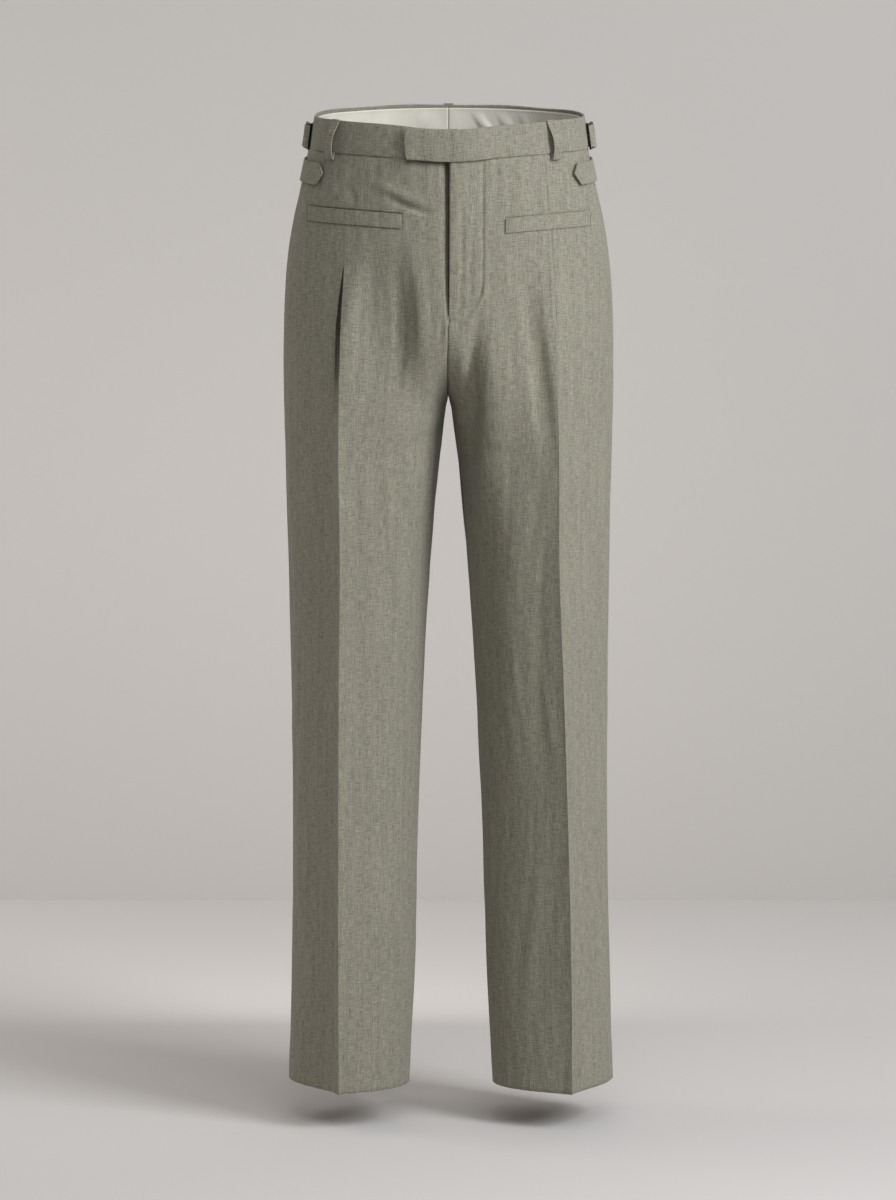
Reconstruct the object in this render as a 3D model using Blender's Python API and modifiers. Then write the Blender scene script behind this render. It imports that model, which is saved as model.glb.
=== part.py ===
"""Wide-leg dress trousers, filled out as they are worn, with nobody in them.

Metres, +Z up. The front faces -Y and the wearer's left is +X. The origin is the middle of the waist,
half-way up the waistband at its sides, where a wearer holds the trousers up. The cloth is cut as a tailor cuts it:
two fronts and two backs, each a flat grid of cloth laid over the form that the garment's own lines
give it. Those lines are the side seam, the pressed creases, the centre seams and the inside leg.
"""
import math
from collections import namedtuple

import bmesh
import bpy
from mathutils import Matrix, Vector

for old in list(bpy.data.objects):
    bpy.data.objects.remove(old, do_unlink=True)

# ---- driving sizes ---------------------------------------------------------------------------
BAND_HEIGHT = 0.036
BAND_TOP = 0.019
BAND_SEAM = BAND_TOP - BAND_HEIGHT
OUTSEAM = 1.100                      # from the waistband's top edge to the hem
HEM = BAND_TOP - OUTSEAM
FLY_END = -0.200                     # the fly stops here and the rise curves under the body
CROTCH = Vector((0.0, 0.015, -0.298))
CROTCH_ROW = -0.352                  # height on the crease of the row whose inner end is the crotch
LEVEL_ROW = -0.500                   # below this height the rows run level round the leg

SEAM_GAP = 0.0003                    # clear space between two pieces that are sewn together
LAID_GAP = 0.0007                    # and between a panel and a piece that lies on it
CLOTH = 0.0016                       # suiting, one layer
BAND_CLOTH = 0.0030                  # waistband: two layers and an interlining
BAND_PROUD = 0.0008                  # how far the waistband's face stands out from the panels
LINING_CLOTH = 0.0010
TAB_CLOTH = 0.0030                   # tabs and straps: doubled cloth with an interlining
WELT_CLOTH = 0.0014
LOOP_CLOTH = 0.0018

LEFT, RIGHT = 1, -1                  # the wearer's left is +X
FRONT, BACK = -1, 1

# ---- the garment's lines ---------------------------------------------------------------------
# Each row is one level of the garment, and x is measured outwards from the middle of the body.
SideRow = namedtuple("SideRow", "z x y")
SIDE_SEAM = (
    SideRow(BAND_TOP, 0.1510, 0.000),
    SideRow(BAND_SEAM, 0.1560, 0.000),
    SideRow(-0.060, 0.1650, 0.000),
    SideRow(-0.100, 0.1740, -0.001),
    SideRow(-0.140, 0.1800, -0.002),
    SideRow(-0.200, 0.1840, -0.003),
    SideRow(-0.280, 0.1855, -0.003),
    SideRow(-0.360, 0.1840, -0.001),
    SideRow(-0.480, 0.1815, 0.001),
    SideRow(-0.620, 0.1795, 0.003),
    SideRow(-0.800, 0.1790, 0.006),
    SideRow(-0.950, 0.1815, 0.009),
    SideRow(HEM, 0.1855, 0.010),
)
# The angles say how the cloth arrives at the crease from the inside and leaves it to the outside.
# Where they are equal the cloth is smooth, and where they differ it is pressed to an edge.
CreaseRow = namedtuple("CreaseRow", "z x depth angle_in angle_out")
CREASE = {
    FRONT: (
        CreaseRow(BAND_TOP, 0.1070, 0.0800, 38, 38),
        CreaseRow(BAND_SEAM, 0.1090, 0.0830, 37, 37),
        CreaseRow(-0.060, 0.1120, 0.0885, 35, 35),
        CreaseRow(-0.100, 0.1140, 0.0935, 32, 36),
        CreaseRow(-0.140, 0.1160, 0.0985, 26, 40),
        CreaseRow(-0.200, 0.1195, 0.1070, 14, 50),
        CreaseRow(-0.280, 0.1218, 0.1155, 4, 57),
        CreaseRow(-0.360, 0.1230, 0.1180, -2, 60),
        CreaseRow(-0.480, 0.1225, 0.1120, -5, 60),
        CreaseRow(-0.620, 0.1258, 0.1040, -6, 60),
        CreaseRow(-0.800, 0.1290, 0.0960, -7, 60),
        CreaseRow(-0.950, 0.1307, 0.0910, -8, 60),
        CreaseRow(HEM, 0.1310, 0.0880, -8, 60),
    ),
    BACK: (
        CreaseRow(BAND_TOP, 0.1040, 0.0850, 38, 38),
        CreaseRow(BAND_SEAM, 0.1060, 0.0880, 37, 37),
        CreaseRow(-0.060, 0.1090, 0.0990, 34, 34),
        CreaseRow(-0.100, 0.1100, 0.1080, 32, 32),
        CreaseRow(-0.140, 0.1100, 0.1150, 31, 31),
        CreaseRow(-0.200, 0.1080, 0.1210, 26, 36),
        CreaseRow(-0.280, 0.1050, 0.1190, 14, 46),
        CreaseRow(-0.360, 0.1030, 0.1120, 6, 52),
        CreaseRow(-0.480, 0.1020, 0.1040, 0, 56),
        CreaseRow(-0.620, 0.1020, 0.0980, 0, 57),
        CreaseRow(-0.800, 0.1030, 0.0930, 0, 58),
        CreaseRow(-0.950, 0.1045, 0.0910, 2, 58),
        CreaseRow(HEM, 0.1070, 0.0900, 2, 58),
    ),
}
CentreRow = namedtuple("CentreRow", "z depth")
CENTRE_SEAM = {
    FRONT: (
        CentreRow(BAND_TOP, 0.1215),
        CentreRow(BAND_SEAM, 0.1230),
        CentreRow(-0.100, 0.1250),
        CentreRow(FLY_END, 0.1250),
    ),
    BACK: (
        CentreRow(BAND_TOP, 0.1180),
        CentreRow(BAND_SEAM, 0.1210),
        CentreRow(-0.080, 0.1330),
        CentreRow(-0.140, 0.1420),
        CentreRow(FLY_END, 0.1430),
    ),
}
InseamRow = namedtuple("InseamRow", "z x y")
INSEAM = (
    InseamRow(CROTCH.z, 0.0008, CROTCH.y),
    InseamRow(-0.330, 0.0050, 0.011),
    InseamRow(-0.400, 0.0130, 0.005),
    InseamRow(-0.490, 0.0205, 0.000),
    InseamRow(-0.580, 0.0265, -0.004),
    InseamRow(-0.680, 0.0315, -0.007),
    InseamRow(-0.800, 0.0365, -0.010),
    InseamRow(-0.950, 0.0405, -0.014),
    InseamRow(HEM, 0.0470, -0.018),
)
# The two legs hang a little differently: how far each hem and its front crease swing outwards.
LEG_SWING = {LEFT: 0.0025, RIGHT: -0.0030}
CREASE_SWING = {LEFT: 0.0060, RIGHT: -0.0040}
SWING_STARTS = -0.250

# The waist isn't level: it dips at the middle of the front and rises towards the hips.
FRONT_DIP = 0.0016
HIP_RISE = 0.0024
SIDE_RISE = 0.0010
WAIST_LINE_ENDS = -0.085             # rows are level again below this height

GROOVE_ANGLE = math.radians(-82)     # how steeply the cloth turns in between the thighs
GROOVE_DROP = 0.55                   # and how fast it falls away from the crotch

# ---- pleats and large folds ------------------------------------------------------------------
# A pleat opens below its stitched top: the crease becomes a fold edge that stands off the cloth
# beside it by depth, most at z_open, and it closes into the plain crease at z_closed.
Pleat = namedtuple("Pleat", "z_top z_open z_closed depth")
PLEAT = {
    RIGHT: Pleat(-0.138, -0.240, -0.420, 0.0085),
    LEFT: Pleat(-0.125, -0.230, -0.400, 0.0022),
}
PLEAT_UNDER = 0.0012                 # the hidden side of the fold drops within this distance
PLEAT_FADES = 0.045                  # and the cloth comes back to the form over this one

# A soft fold runs from one point of a panel to another: across is the share of the way from the
# inner edge to the side seam. Depth is inwards, and a negative one is a ridge.
Fold = namedtuple("Fold", "side face across_top z_top across_low z_low width depth")
FOLDS = (
    Fold(LEFT, FRONT, 0.17, -0.175, 0.13, -0.400, 0.080, 0.0060),
    Fold(LEFT, FRONT, 0.52, -0.160, 0.57, -0.400, 0.050, 0.0035),
    Fold(RIGHT, FRONT, 0.28, -0.150, 0.24, -0.370, 0.090, 0.0045),
    Fold(RIGHT, FRONT, 0.20, -0.085, 0.62, -0.055, 0.045, 0.0020),
    Fold(LEFT, BACK, 0.20, -0.330, 0.75, -0.235, 0.060, 0.0050),
    Fold(RIGHT, BACK, 0.22, -0.345, 0.72, -0.240, 0.060, 0.0060),
    Fold(LEFT, BACK, 0.18, -0.400, 0.55, -0.350, 0.050, 0.0035),
    Fold(RIGHT, BACK, 0.15, -0.395, 0.60, -0.330, 0.050, 0.0030),
)

# ---- the fly and the waistband's lap ---------------------------------------------------------
FLY_WIDTH = 0.041                    # from the fly's edge to its row of stitching
FLY_LIFT = 0.0032                    # the fly's edge stands this far off the other front
FLY_LIFT_ENDS = -0.190
TAB_REACH = 0.046                    # how far the waistband's tab laps past the centre
LAP_STARTS = 0.060                   # where the lapping band begins to leave the form
LAP_FULL = 0.018
LAP_LIFT = 0.0046
UNDER_BAND_END = 0.010               # the other band ends this far past the centre, underneath
UNDERLAP = namedtuple("Underlap", "right left top bottom")(-0.018, 0.034, -0.0190, -0.192)


def blend(low, high, value):
    """0 below low, 1 above high, with a smooth rise between them."""
    share = min(1.0, max(0.0, (value - low) / (high - low)))
    return share * share * (3 - 2 * share)


def at_height(rows, column, z):
    """The value of a column at height z, on a smooth curve through the table's rows."""
    upper = 0
    while upper < len(rows) - 2 and z < rows[upper + 1].z:
        upper += 1
    before, start, end, after = (
        rows[min(max(k, 0), len(rows) - 1)] for k in range(upper - 1, upper + 3)
    )
    value_before, value_start, value_end, value_after = (
        getattr(row, column) for row in (before, start, end, after)
    )
    span = end.z - start.z
    slope_start = (value_end - value_before) / (end.z - before.z)
    slope_end = (value_after - value_start) / (after.z - start.z)
    t = min(1.0, max(0.0, (z - start.z) / span))
    return (
        (2 * t**3 - 3 * t**2 + 1) * value_start
        + (t**3 - 2 * t**2 + t) * span * slope_start
        + (3 * t**2 - 2 * t**3) * value_end
        + (t**3 - t**2) * span * slope_end
    )


def heading(angle, face, drop=0.0):
    """A direction that runs outwards at an angle from the X axis, turned back towards the side."""
    return Vector((math.cos(angle), -face * math.sin(angle), -drop)).normalized()


def arc(start, start_heading, end, end_heading, t):
    """A point of the fair curve that leaves start and reaches end with those headings."""
    turn = start_heading.angle(end_heading)
    reach = (end - start).length / (3 * math.cos(turn / 4) ** 2)
    first, second = start + reach * start_heading, end - reach * end_heading
    return (
        (1 - t) ** 3 * start
        + 3 * (1 - t) ** 2 * t * first
        + 3 * (1 - t) * t**2 * second
        + t**3 * end
    )


def swing(z):
    """How far down the leg a level is, from 0 at the seat to 1 at the hem."""
    return blend(SWING_STARTS, HEM, z) if z < SWING_STARTS else 0.0


def side_point(side, z):
    x = at_height(SIDE_SEAM, "x", z) + LEG_SWING[side] * swing(z)
    return Vector((x, at_height(SIDE_SEAM, "y", z), z))


def crease_point(side, face, z):
    rows = CREASE[face]
    x = at_height(rows, "x", z) + LEG_SWING[side] * swing(z)
    if face == FRONT:
        x += CREASE_SWING[side] * swing(z)
    return Vector((x, face * at_height(rows, "depth", z), z))


def inner_end(side, face, z):
    """Where a row starts, on the centre seam or on the inside leg, and which way it sets off."""
    if z >= FLY_END:
        return Vector((0.0, face * at_height(CENTRE_SEAM[face], "depth", z), z)), heading(0, face)
    if z >= CROTCH_ROW:
        share = (FLY_END - z) / (FLY_END - CROTCH_ROW)
        under = share * math.pi / 2
        rise = face * at_height(CENTRE_SEAM[face], "depth", FLY_END) - CROTCH.y
        point = Vector((
            0.0,
            CROTCH.y + rise * math.cos(under),
            FLY_END + (CROTCH.z - FLY_END) * math.sin(under),
        ))
        turned = blend(0.0, 1.0, share)
        return point, heading(GROOVE_ANGLE * turned, face, GROOVE_DROP * turned)
    level = blend(0.0, 1.0, (CROTCH_ROW - z) / (CROTCH_ROW - LEVEL_ROW))
    own_z = z + (CROTCH.z - CROTCH_ROW) * (1 - level)
    x = at_height(INSEAM, "x", own_z) + LEG_SWING[side] * swing(z)
    point = Vector((x, at_height(INSEAM, "y", own_z), own_z))
    angle = GROOVE_ANGLE + (-math.pi / 2 - GROOVE_ANGLE) * level
    return point, heading(angle, face, GROOVE_DROP * (1 - level))


def waist_rise(face, x, z):
    """How far a row rises from level at x, near the waist."""
    if face == FRONT:
        rise = (FRONT_DIP + HIP_RISE) * blend(0, 0.105, x) - FRONT_DIP
        rise -= (HIP_RISE - SIDE_RISE) * blend(0.115, 0.151, x)
    else:
        rise = SIDE_RISE * blend(0.105, 0.151, x)
    return rise * blend(WAIST_LINE_ENDS, BAND_SEAM, z)


def bare_form(side, face, across, z):
    """A point of the outer face without folds. across is 1 at the crease and 2 at the side seam."""
    crease = crease_point(side, face, z)
    angle_in = math.radians(at_height(CREASE[face], "angle_in", z))
    angle_out = math.radians(at_height(CREASE[face], "angle_out", z))
    if across <= 1:
        start, setting_off = inner_end(side, face, z)
        point = arc(start, setting_off, crease, heading(angle_in, face), across)
    else:
        side_heading = heading(math.pi / 2, face)
        point = arc(crease, heading(angle_out, face), side_point(side, z), side_heading, across - 1)
    point.z += waist_rise(face, point.x, z)
    return point


def outward(side, face, across, z):
    """The direction out of the bare form, on the +X side."""
    step_across, step_z = 0.02, 0.004
    low, high = max(0.0, across - step_across), min(2.0, across + step_across)
    if across > 1:
        low = max(low, 1.0)
    elif across < 1:
        high = min(high, 1.0)
    along = bare_form(side, face, high, z) - bare_form(side, face, low, z)
    lower, upper = max(HEM, z - step_z), min(BAND_TOP, z + step_z)
    down = bare_form(side, face, across, lower) - bare_form(side, face, across, upper)
    return (face * along.cross(down)).normalized()


def bump(t):
    """A soft bell: 1 at 0, and 0 beyond -1 and 1."""
    return (1 - t * t) ** 2 if abs(t) < 1 else 0.0


def fold_depth(side, face, across, z):
    """How far folds and the pleat take the cloth in from the bare form."""
    depth = 0.0
    girth = 0.16                     # about the length of a row from its inner end to the crease
    for fold in FOLDS:
        if (fold.side, fold.face) != (side, face):
            continue
        run = Vector(((fold.across_low - fold.across_top) * girth, fold.z_low - fold.z_top))
        here = Vector(((across - fold.across_top) * girth, z - fold.z_top))
        along = here.dot(run) / run.length_squared
        away = abs(here.cross(run)) / run.length
        depth += fold.depth * bump(2 * along - 1) * bump(away / (fold.width / 2))
    return depth


def pleat_drop(side, z, away):
    """How far the cloth beside the pleat's fold edge lies below it, away metres outwards from it."""
    pleat = PLEAT[side]
    opened = blend(0, 1, (pleat.z_top - z) / (pleat.z_top - pleat.z_open))
    closing = 1 - blend(0, 1, (pleat.z_open - z) / (pleat.z_open - pleat.z_closed))
    beside = blend(0, PLEAT_UNDER, away) * (1 - blend(PLEAT_UNDER, PLEAT_FADES, away))
    return pleat.depth * opened * closing * beside


def fly_lift(side, x, z):
    """How far the left front's fly edge stands off the form."""
    if side == RIGHT or z < FLY_LIFT_ENDS - 0.02:
        return 0.0
    return FLY_LIFT * (1 - blend(0.004, FLY_WIDTH, x)) * blend(FLY_LIFT_ENDS - 0.02, FLY_LIFT_ENDS + 0.03, z)


def form(side, face, across, z, out=0.0):
    """A point of the cloth's outer face in the world, moved out of it by a distance."""
    point = bare_form(side, face, across, z)
    normal = outward(side, face, across, z)
    out -= fold_depth(side, face, across, z)
    if face == FRONT:
        if across > 1:
            out -= pleat_drop(side, z, (point - crease_point(side, face, z)).length)
        out += fly_lift(side, point.x, z)
    point = point + out * normal
    return Vector((side * point.x, point.y, point.z))


# ---- making cloth ----------------------------------------------------------------------------
trousers = bpy.data.collections.new("dress_trousers")
bpy.context.scene.collection.children.link(trousers)

Finish = namedtuple("Finish", "colour roughness metallic")
SUITING = Finish("8a8679", 0.85, 0.0)
LINING = Finish("cfcbc2", 0.6, 0.0)
BUCKLE_METAL = Finish("2b2925", 0.35, 1.0)


def finished(name, mesh, finish):
    """The piece's object, with a material of its own."""
    material = bpy.data.materials.new(name)
    material.use_nodes = True
    channels = [int(finish.colour[k:k + 2], 16) / 255 for k in (0, 2, 4)]
    linear = [c / 12.92 if c < 0.04045 else ((c + 0.055) / 1.055) ** 2.4 for c in channels]
    shader = material.node_tree.nodes["Principled BSDF"]
    shader.inputs["Base Color"].default_value = (*linear, 1)
    shader.inputs["Roughness"].default_value = finish.roughness
    shader.inputs["Metallic"].default_value = finish.metallic
    mesh.materials.append(material)
    piece = bpy.data.objects.new(name, mesh)
    trousers.objects.link(piece)
    return piece


def laid(name, columns, rows, place, thickness, reverse=False, wall_side=-1, finish=SUITING):
    """A flat grid of cloth, its points put in place by place(column, row), with its wall inwards.

    reverse turns it over where that order of points would show its back, and a wall_side of 1
    thickens it outwards from the points.
    """
    mesh = bpy.data.meshes.new(name)
    bm = bmesh.new()
    bmesh.ops.create_grid(bm, x_segments=columns, y_segments=rows, size=0.5)
    for vert in bm.verts:
        column = round((vert.co.x + 0.5) * columns)
        row = round((0.5 - vert.co.y) * rows)
        vert.co = place(column, row)
    if reverse:
        bmesh.ops.reverse_faces(bm, faces=bm.faces)
    bm.to_mesh(mesh)
    bm.free()
    mesh.shade_smooth()
    piece = finished(name, mesh, finish)
    wall = piece.modifiers.new("wall", "SOLIDIFY")
    wall.thickness = thickness
    wall.offset = wall_side
    return piece


def side_name(side):
    return "left" if side == LEFT else "right"


def faces_inwards(side, face):
    """Whether a grid laid from the middle outwards and from the top down has its back outside."""
    return side * face == 1


# ---- fronts and backs ------------------------------------------------------------------------
# Shares of the way along the two stretches of a row: from the inner edge to the crease, and on to
# the side seam. The front has narrow columns beside the crease for the pleat's hidden side.
INNER_SHARES = (0, 0.10, 0.22, 0.36, 0.50, 0.64, 0.78, 0.90, 1)
OUTER_SHARES = {
    FRONT: (0.012, 0.06, 0.18, 0.34, 0.52, 0.70, 0.86, 1),
    BACK: (0.14, 0.32, 0.50, 0.68, 0.85, 1),
}
PANEL_ROWS = (
    BAND_SEAM - SEAM_GAP, -0.045, -0.075, -0.105, -0.135, -0.165, FLY_END,
    -0.228, -0.253, -0.278, -0.303, -0.328, CROTCH_ROW,
    -0.385, -0.425, LEVEL_ROW, -0.580, -0.670, -0.770, -0.880, -0.985, HEM,
)


def lean(side, face, along, down, own_way):
    """How far the wall at an edge point reaches over its seam, where the cloth arrives there aslant."""
    inwards = -side * face * along.cross(down).normalized()
    return max(0.0, -inwards.dot(own_way)) * CLOTH


def panel(side, face):
    """A front or a back: from the waistband to the hem, between its centre seam and the side seam."""
    acrosses = INNER_SHARES + tuple(1 + share for share in OUTER_SHARES[face])
    last, lowest = len(acrosses) - 1, len(PANEL_ROWS) - 1
    points = [[form(side, face, across, z) for across in acrosses] for z in PANEL_ROWS]

    def place(column, row):
        point = points[row][column].copy()
        if column not in (0, last):
            return point
        along = points[row][max(column, 1)] - points[row][max(column, 1) - 1]
        down = points[min(row + 1, lowest)][column] - points[max(row - 1, 0)][column]
        ways = []
        if column == 0 and PANEL_ROWS[row] >= CROTCH_ROW:
            ways.append(Vector((side, 0, 0)))
        if column == last or PANEL_ROWS[row] <= CROTCH_ROW:
            ways.append(Vector((0, face, 0)))
        for own_way in ways:
            point += own_way * (SEAM_GAP / 2 + lean(side, face, along, down, own_way))
        return point

    name = ("front_" if face == FRONT else "back_") + side_name(side)
    return laid(name, last, lowest, place, CLOTH, faces_inwards(side, face))


# ---- the waistband and its lining ------------------------------------------------------------
def round_the_waist(side, turn):
    """(face, across) at a turn round one half of the waist: 0 at the front, 2 at the side, 4 at the back."""
    return (FRONT, turn) if turn <= 2 else (BACK, 4 - turn)


def lap_lift(side, x):
    """How far the lapping band stands out at x, on its way over the other one."""
    return LAP_LIFT * (1 - blend(LAP_FULL, LAP_STARTS, side * x)) if side == LEFT else 0.0


def on_waist(side, turn, z, out):
    face, across = round_the_waist(side, turn)
    point = bare_form(side, face, across, max(min(z, BAND_TOP), -0.1))
    normal = outward(side, face, across, z)
    normal.z = 0
    rise = waist_rise(face, point.x, z)
    point = point + out * normal.normalized()
    return Vector((side * point.x, point.y, z + rise))


def turn_at(side, x, z):
    """The turn round the front of the waist at which the band is x from the middle."""
    low, high = 0.0, 2.0
    for _ in range(30):
        middle = (low + high) / 2
        if bare_form(side, *round_the_waist(side, middle), z).x < x:
            low = middle
        else:
            high = middle
    return low


BAND_TURNS = 22                      # columns from the centre front to the centre back


def waistband(side):
    """Half of the waistband. The left one goes on past the centre as the tab that laps the right."""
    past = TAB_REACH if side == LEFT else UNDER_BAND_END
    past_columns = 5 if side == LEFT else 2

    def place(column, row):
        z = BAND_TOP - BAND_HEIGHT * row / 2
        if column < past_columns:
            beyond = past * (1 - column / past_columns)
            lift = LAP_LIFT if side == LEFT else 0.0
            return on_waist(-side, turn_at(-side, beyond, z), z, BAND_PROUD + lift)
        turn = 4 * (column - past_columns) / BAND_TURNS
        face, across = round_the_waist(side, turn)
        x = bare_form(side, face, across, z).x
        lift = lap_lift(side, x) if face == FRONT else 0.0
        point = on_waist(side, turn, z, BAND_PROUD + lift)
        if column == past_columns + BAND_TURNS:
            point.x = side * SEAM_GAP / 2
        return point

    return laid("waistband_" + side_name(side), past_columns + BAND_TURNS, 2, place, BAND_CLOTH,
                side == RIGHT)


LINING_ROWS = (BAND_TOP - 0.0028, 0.0, BAND_SEAM, BAND_SEAM - 0.014)
LINING_FIRST = {LEFT: 3, RIGHT: 2}      # the band's column where the lining starts


def waistband_lining(side):
    """The pale lining sewn inside the band, and hanging a little below its seam."""
    out = BAND_PROUD - BAND_CLOTH - 2 * SEAM_GAP
    first = LINING_FIRST[side]

    def place(column, row):
        z = LINING_ROWS[row]
        point = on_waist(side, 4 * (column + first) / BAND_TURNS, z, out)
        if column == BAND_TURNS - first:
            point.x = side * SEAM_GAP / 2
        return point

    return laid("waistband_lining_" + side_name(side), BAND_TURNS - first, len(LINING_ROWS) - 1, place,
                LINING_CLOTH, side == RIGHT, finish=LINING)


def fly_underlap():
    """The strip behind the fly that the lapping edge closes on, sewn to the right front."""
    behind = -CLOTH - 2 * LAID_GAP

    def place(column, row):
        x = UNDERLAP.right + (UNDERLAP.left - UNDERLAP.right) * column / 6
        z = UNDERLAP.top + (UNDERLAP.bottom - UNDERLAP.top) * row / 6
        side = LEFT if x > 0 else RIGHT
        return on_waist(side, turn_at(side, abs(x), z), z, behind)

    return laid("fly_underlap", 6, 6, place, CLOTH)


# ---- welts, tabs, loops and side adjusters ---------------------------------------------------
def across_at(side, x, z):
    """Where on a front row the form is x from the middle."""
    low, high = 0.0, 2.0
    for _ in range(30):
        middle = (low + high) / 2
        if bare_form(side, FRONT, middle, z).x < x:
            low = middle
        else:
            high = middle
    return low


Welt = namedtuple("Welt", "inner outer top height rise")
WELT = {
    LEFT: Welt(0.063, 0.157, -0.0835, 0.0158, 0.0010),
    RIGHT: Welt(0.052, 0.156, -0.0782, 0.0156, 0.0010),
}


def welt(side):
    """The folded strip that closes a welt pocket, lying on the front."""
    size = WELT[side]
    first, last = across_at(side, size.inner, size.top), across_at(side, size.outer, size.top)

    def place(column, row):
        across = first + (last - first) * column / 12
        z = size.top + size.rise * column / 12 - size.height * row / 2
        return form(side, FRONT, across, z, LAID_GAP + WELT_CLOTH)

    return laid("pocket_welt_" + side_name(side), 12, 2, place, WELT_CLOTH, side == RIGHT)


LOOP_WIDTH = 0.011
# The strip's inner line down the loop: height, and gap over the band. Its lower end is turned under.
LoopPoint = namedtuple("LoopPoint", "z out")
LOOP_PROFILE = (
    LoopPoint(0.0198, 0.0003), LoopPoint(0.0165, 0.0007), LoopPoint(0.0110, 0.0028),
    LoopPoint(0.0040, 0.0060), LoopPoint(-0.0035, 0.0069), LoopPoint(-0.0110, 0.0064),
    LoopPoint(-0.0175, 0.0047), LoopPoint(-0.0222, 0.0031), LoopPoint(-0.0232, 0.0027),
    LoopPoint(-0.0226, 0.0023), LoopPoint(-0.0165, 0.0022),
)
LOOP_AT = {"front_left": (LEFT, 0.118), "front_right": (RIGHT, 0.126), "back": (LEFT, 0.0)}


def belt_loop(name):
    """A strip sewn at the band's top edge and below its seam, standing off between the two."""
    side, x = LOOP_AT[name]
    turn = 4.0 if name == "back" else turn_at(side, x, 0.0)
    out_of = (on_waist(side, turn, 0.0, 1.0) - on_waist(side, turn, 0.0, 0.0)).normalized()
    along = Vector((-out_of.y, out_of.x, 0))

    def place(column, row):
        point = LOOP_PROFILE[row]
        out = BAND_PROUD + point.out
        return on_waist(side, turn, point.z, 0) + out * out_of + (column - 0.5) * LOOP_WIDTH * along

    return laid("belt_loop_" + name, 1, len(LOOP_PROFILE) - 1, place, LOOP_CLOTH, wall_side=1)


# ---- side adjusters --------------------------------------------------------------------------
# On each side a slide buckle rests on the band, and a strap sewn to the band comes up through it,
# over its middle bar, and runs on to the back. Below the band a pointed tab goes round the hip.
ADJUSTER_Z = -0.0045                 # the strap's middle
STRAP_HEIGHT = 0.0242
BuckleSize = namedtuple("BuckleSize", "length height bar out tilt")
BUCKLE = BuckleSize(0.0240, 0.0298, 0.0022, 0.0047, math.radians(14))
# y is along the band, 0 at the side seam, and out is the gap below the strap.
StrapPoint = namedtuple("StrapPoint", "y out")
STRAP_PATH = (
    StrapPoint(-0.0056, 0.0003), StrapPoint(-0.0046, 0.0026), StrapPoint(-0.0032, 0.0050),
    StrapPoint(-0.0012, 0.0065), StrapPoint(0.0012, 0.0065), StrapPoint(0.0038, 0.0051),
    StrapPoint(0.0074, 0.0026), StrapPoint(0.0112, 0.0009), StrapPoint(0.0165, 0.0004),
    StrapPoint(0.0240, 0.0004), StrapPoint(0.0320, 0.0004), StrapPoint(0.0400, 0.0004),
    StrapPoint(0.0480, 0.0004),
)
# The tab's pointed end, and where it is sewn down behind the side seam.
TabRow = namedtuple("TabRow", "z x back_z")
TAB_END = (TabRow(-0.0290, 0.1405, -0.0300), TabRow(-0.0396, 0.1368, -0.0415),
           TabRow(-0.0525, 0.1430, -0.0535))
TAB_BACK = 0.034


def turn_at_depth(side, y, z):
    """The turn at which the waist is y behind the side seam."""
    low, high = 1.0, 3.0
    for _ in range(30):
        middle = (low + high) / 2
        if on_waist(side, middle, z, 0).y < y:
            low = middle
        else:
            high = middle
    return low


def adjuster_strap(side):
    def place(column, row):
        z = ADJUSTER_Z + STRAP_HEIGHT * (0.5 - row)
        point = STRAP_PATH[column]
        return on_waist(side, turn_at_depth(side, point.y, z), z, BAND_PROUD + point.out)

    return laid("adjuster_strap_" + side_name(side), len(STRAP_PATH) - 1, 1, place, TAB_CLOTH,
                side == RIGHT, wall_side=1)


def adjuster_buckle(side):
    """A wire slide: a frame with a middle bar, all one piece, its front bar resting on the band."""
    name = "adjuster_buckle_" + side_name(side)
    half_length, half_height, bar = BUCKLE.length / 2, BUCKLE.height / 2, BUCKLE.bar
    lines = (-half_length, bar - half_length, -bar / 2, bar / 2, half_length - bar, half_length)
    levels = (-half_height, bar - half_height, half_height - bar, half_height)
    bm = bmesh.new()
    bmesh.ops.create_grid(bm, x_segments=5, y_segments=3, size=0.5)
    for vert in bm.verts:
        column, row = round((vert.co.x + 0.5) * 5), round((vert.co.y + 0.5) * 3)
        vert.co = (lines[column], levels[row], 0)
    slots = [f for f in bm.faces if abs(f.calc_center_median().y) < 0.001
             and 0.002 < abs(f.calc_center_median().x) < half_length - bar]
    bmesh.ops.delete(bm, geom=slots, context="FACES")
    mesh = bpy.data.meshes.new(name)
    bm.to_mesh(mesh)
    bm.free()
    buckle = finished(name, mesh, BUCKLE_METAL)
    depth = buckle.modifiers.new("wire", "SOLIDIFY")
    depth.thickness = bar
    depth.offset = 0
    rounding = buckle.modifiers.new("rounding", "BEVEL")
    rounding.width = 0.0008
    rounding.segments = 2
    # Its height follows the slope of the band, and its length is turned away from it by the tilt.
    middle = on_waist(side, 2.0, ADJUSTER_Z, BAND_PROUD + BUCKLE.out)
    up = (on_waist(side, 2.0, BAND_TOP, 0) - on_waist(side, 2.0, BAND_SEAM, 0)).normalized()
    along = Vector((side * math.sin(BUCKLE.tilt), math.cos(BUCKLE.tilt), 0))
    deep = along.cross(up).normalized()
    turned = Matrix((along, deep.cross(along), deep)).transposed().to_4x4()
    buckle.matrix_world = Matrix.Translation(middle) @ turned
    return buckle


def adjuster_tab(side):
    def place(column, row):
        end = TAB_END[row]
        start = turn_at(side, end.x, end.z)
        stop = turn_at_depth(side, TAB_BACK, end.back_z)
        share = column / 14
        z = end.z + (end.back_z - end.z) * min(1, 2 * share)
        face, across = round_the_waist(side, start + (stop - start) * share)
        return form(side, face, across, z, LAID_GAP + TAB_CLOTH)

    return laid("adjuster_tab_" + side_name(side), 14, 2, place, TAB_CLOTH, side == RIGHT)


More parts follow.
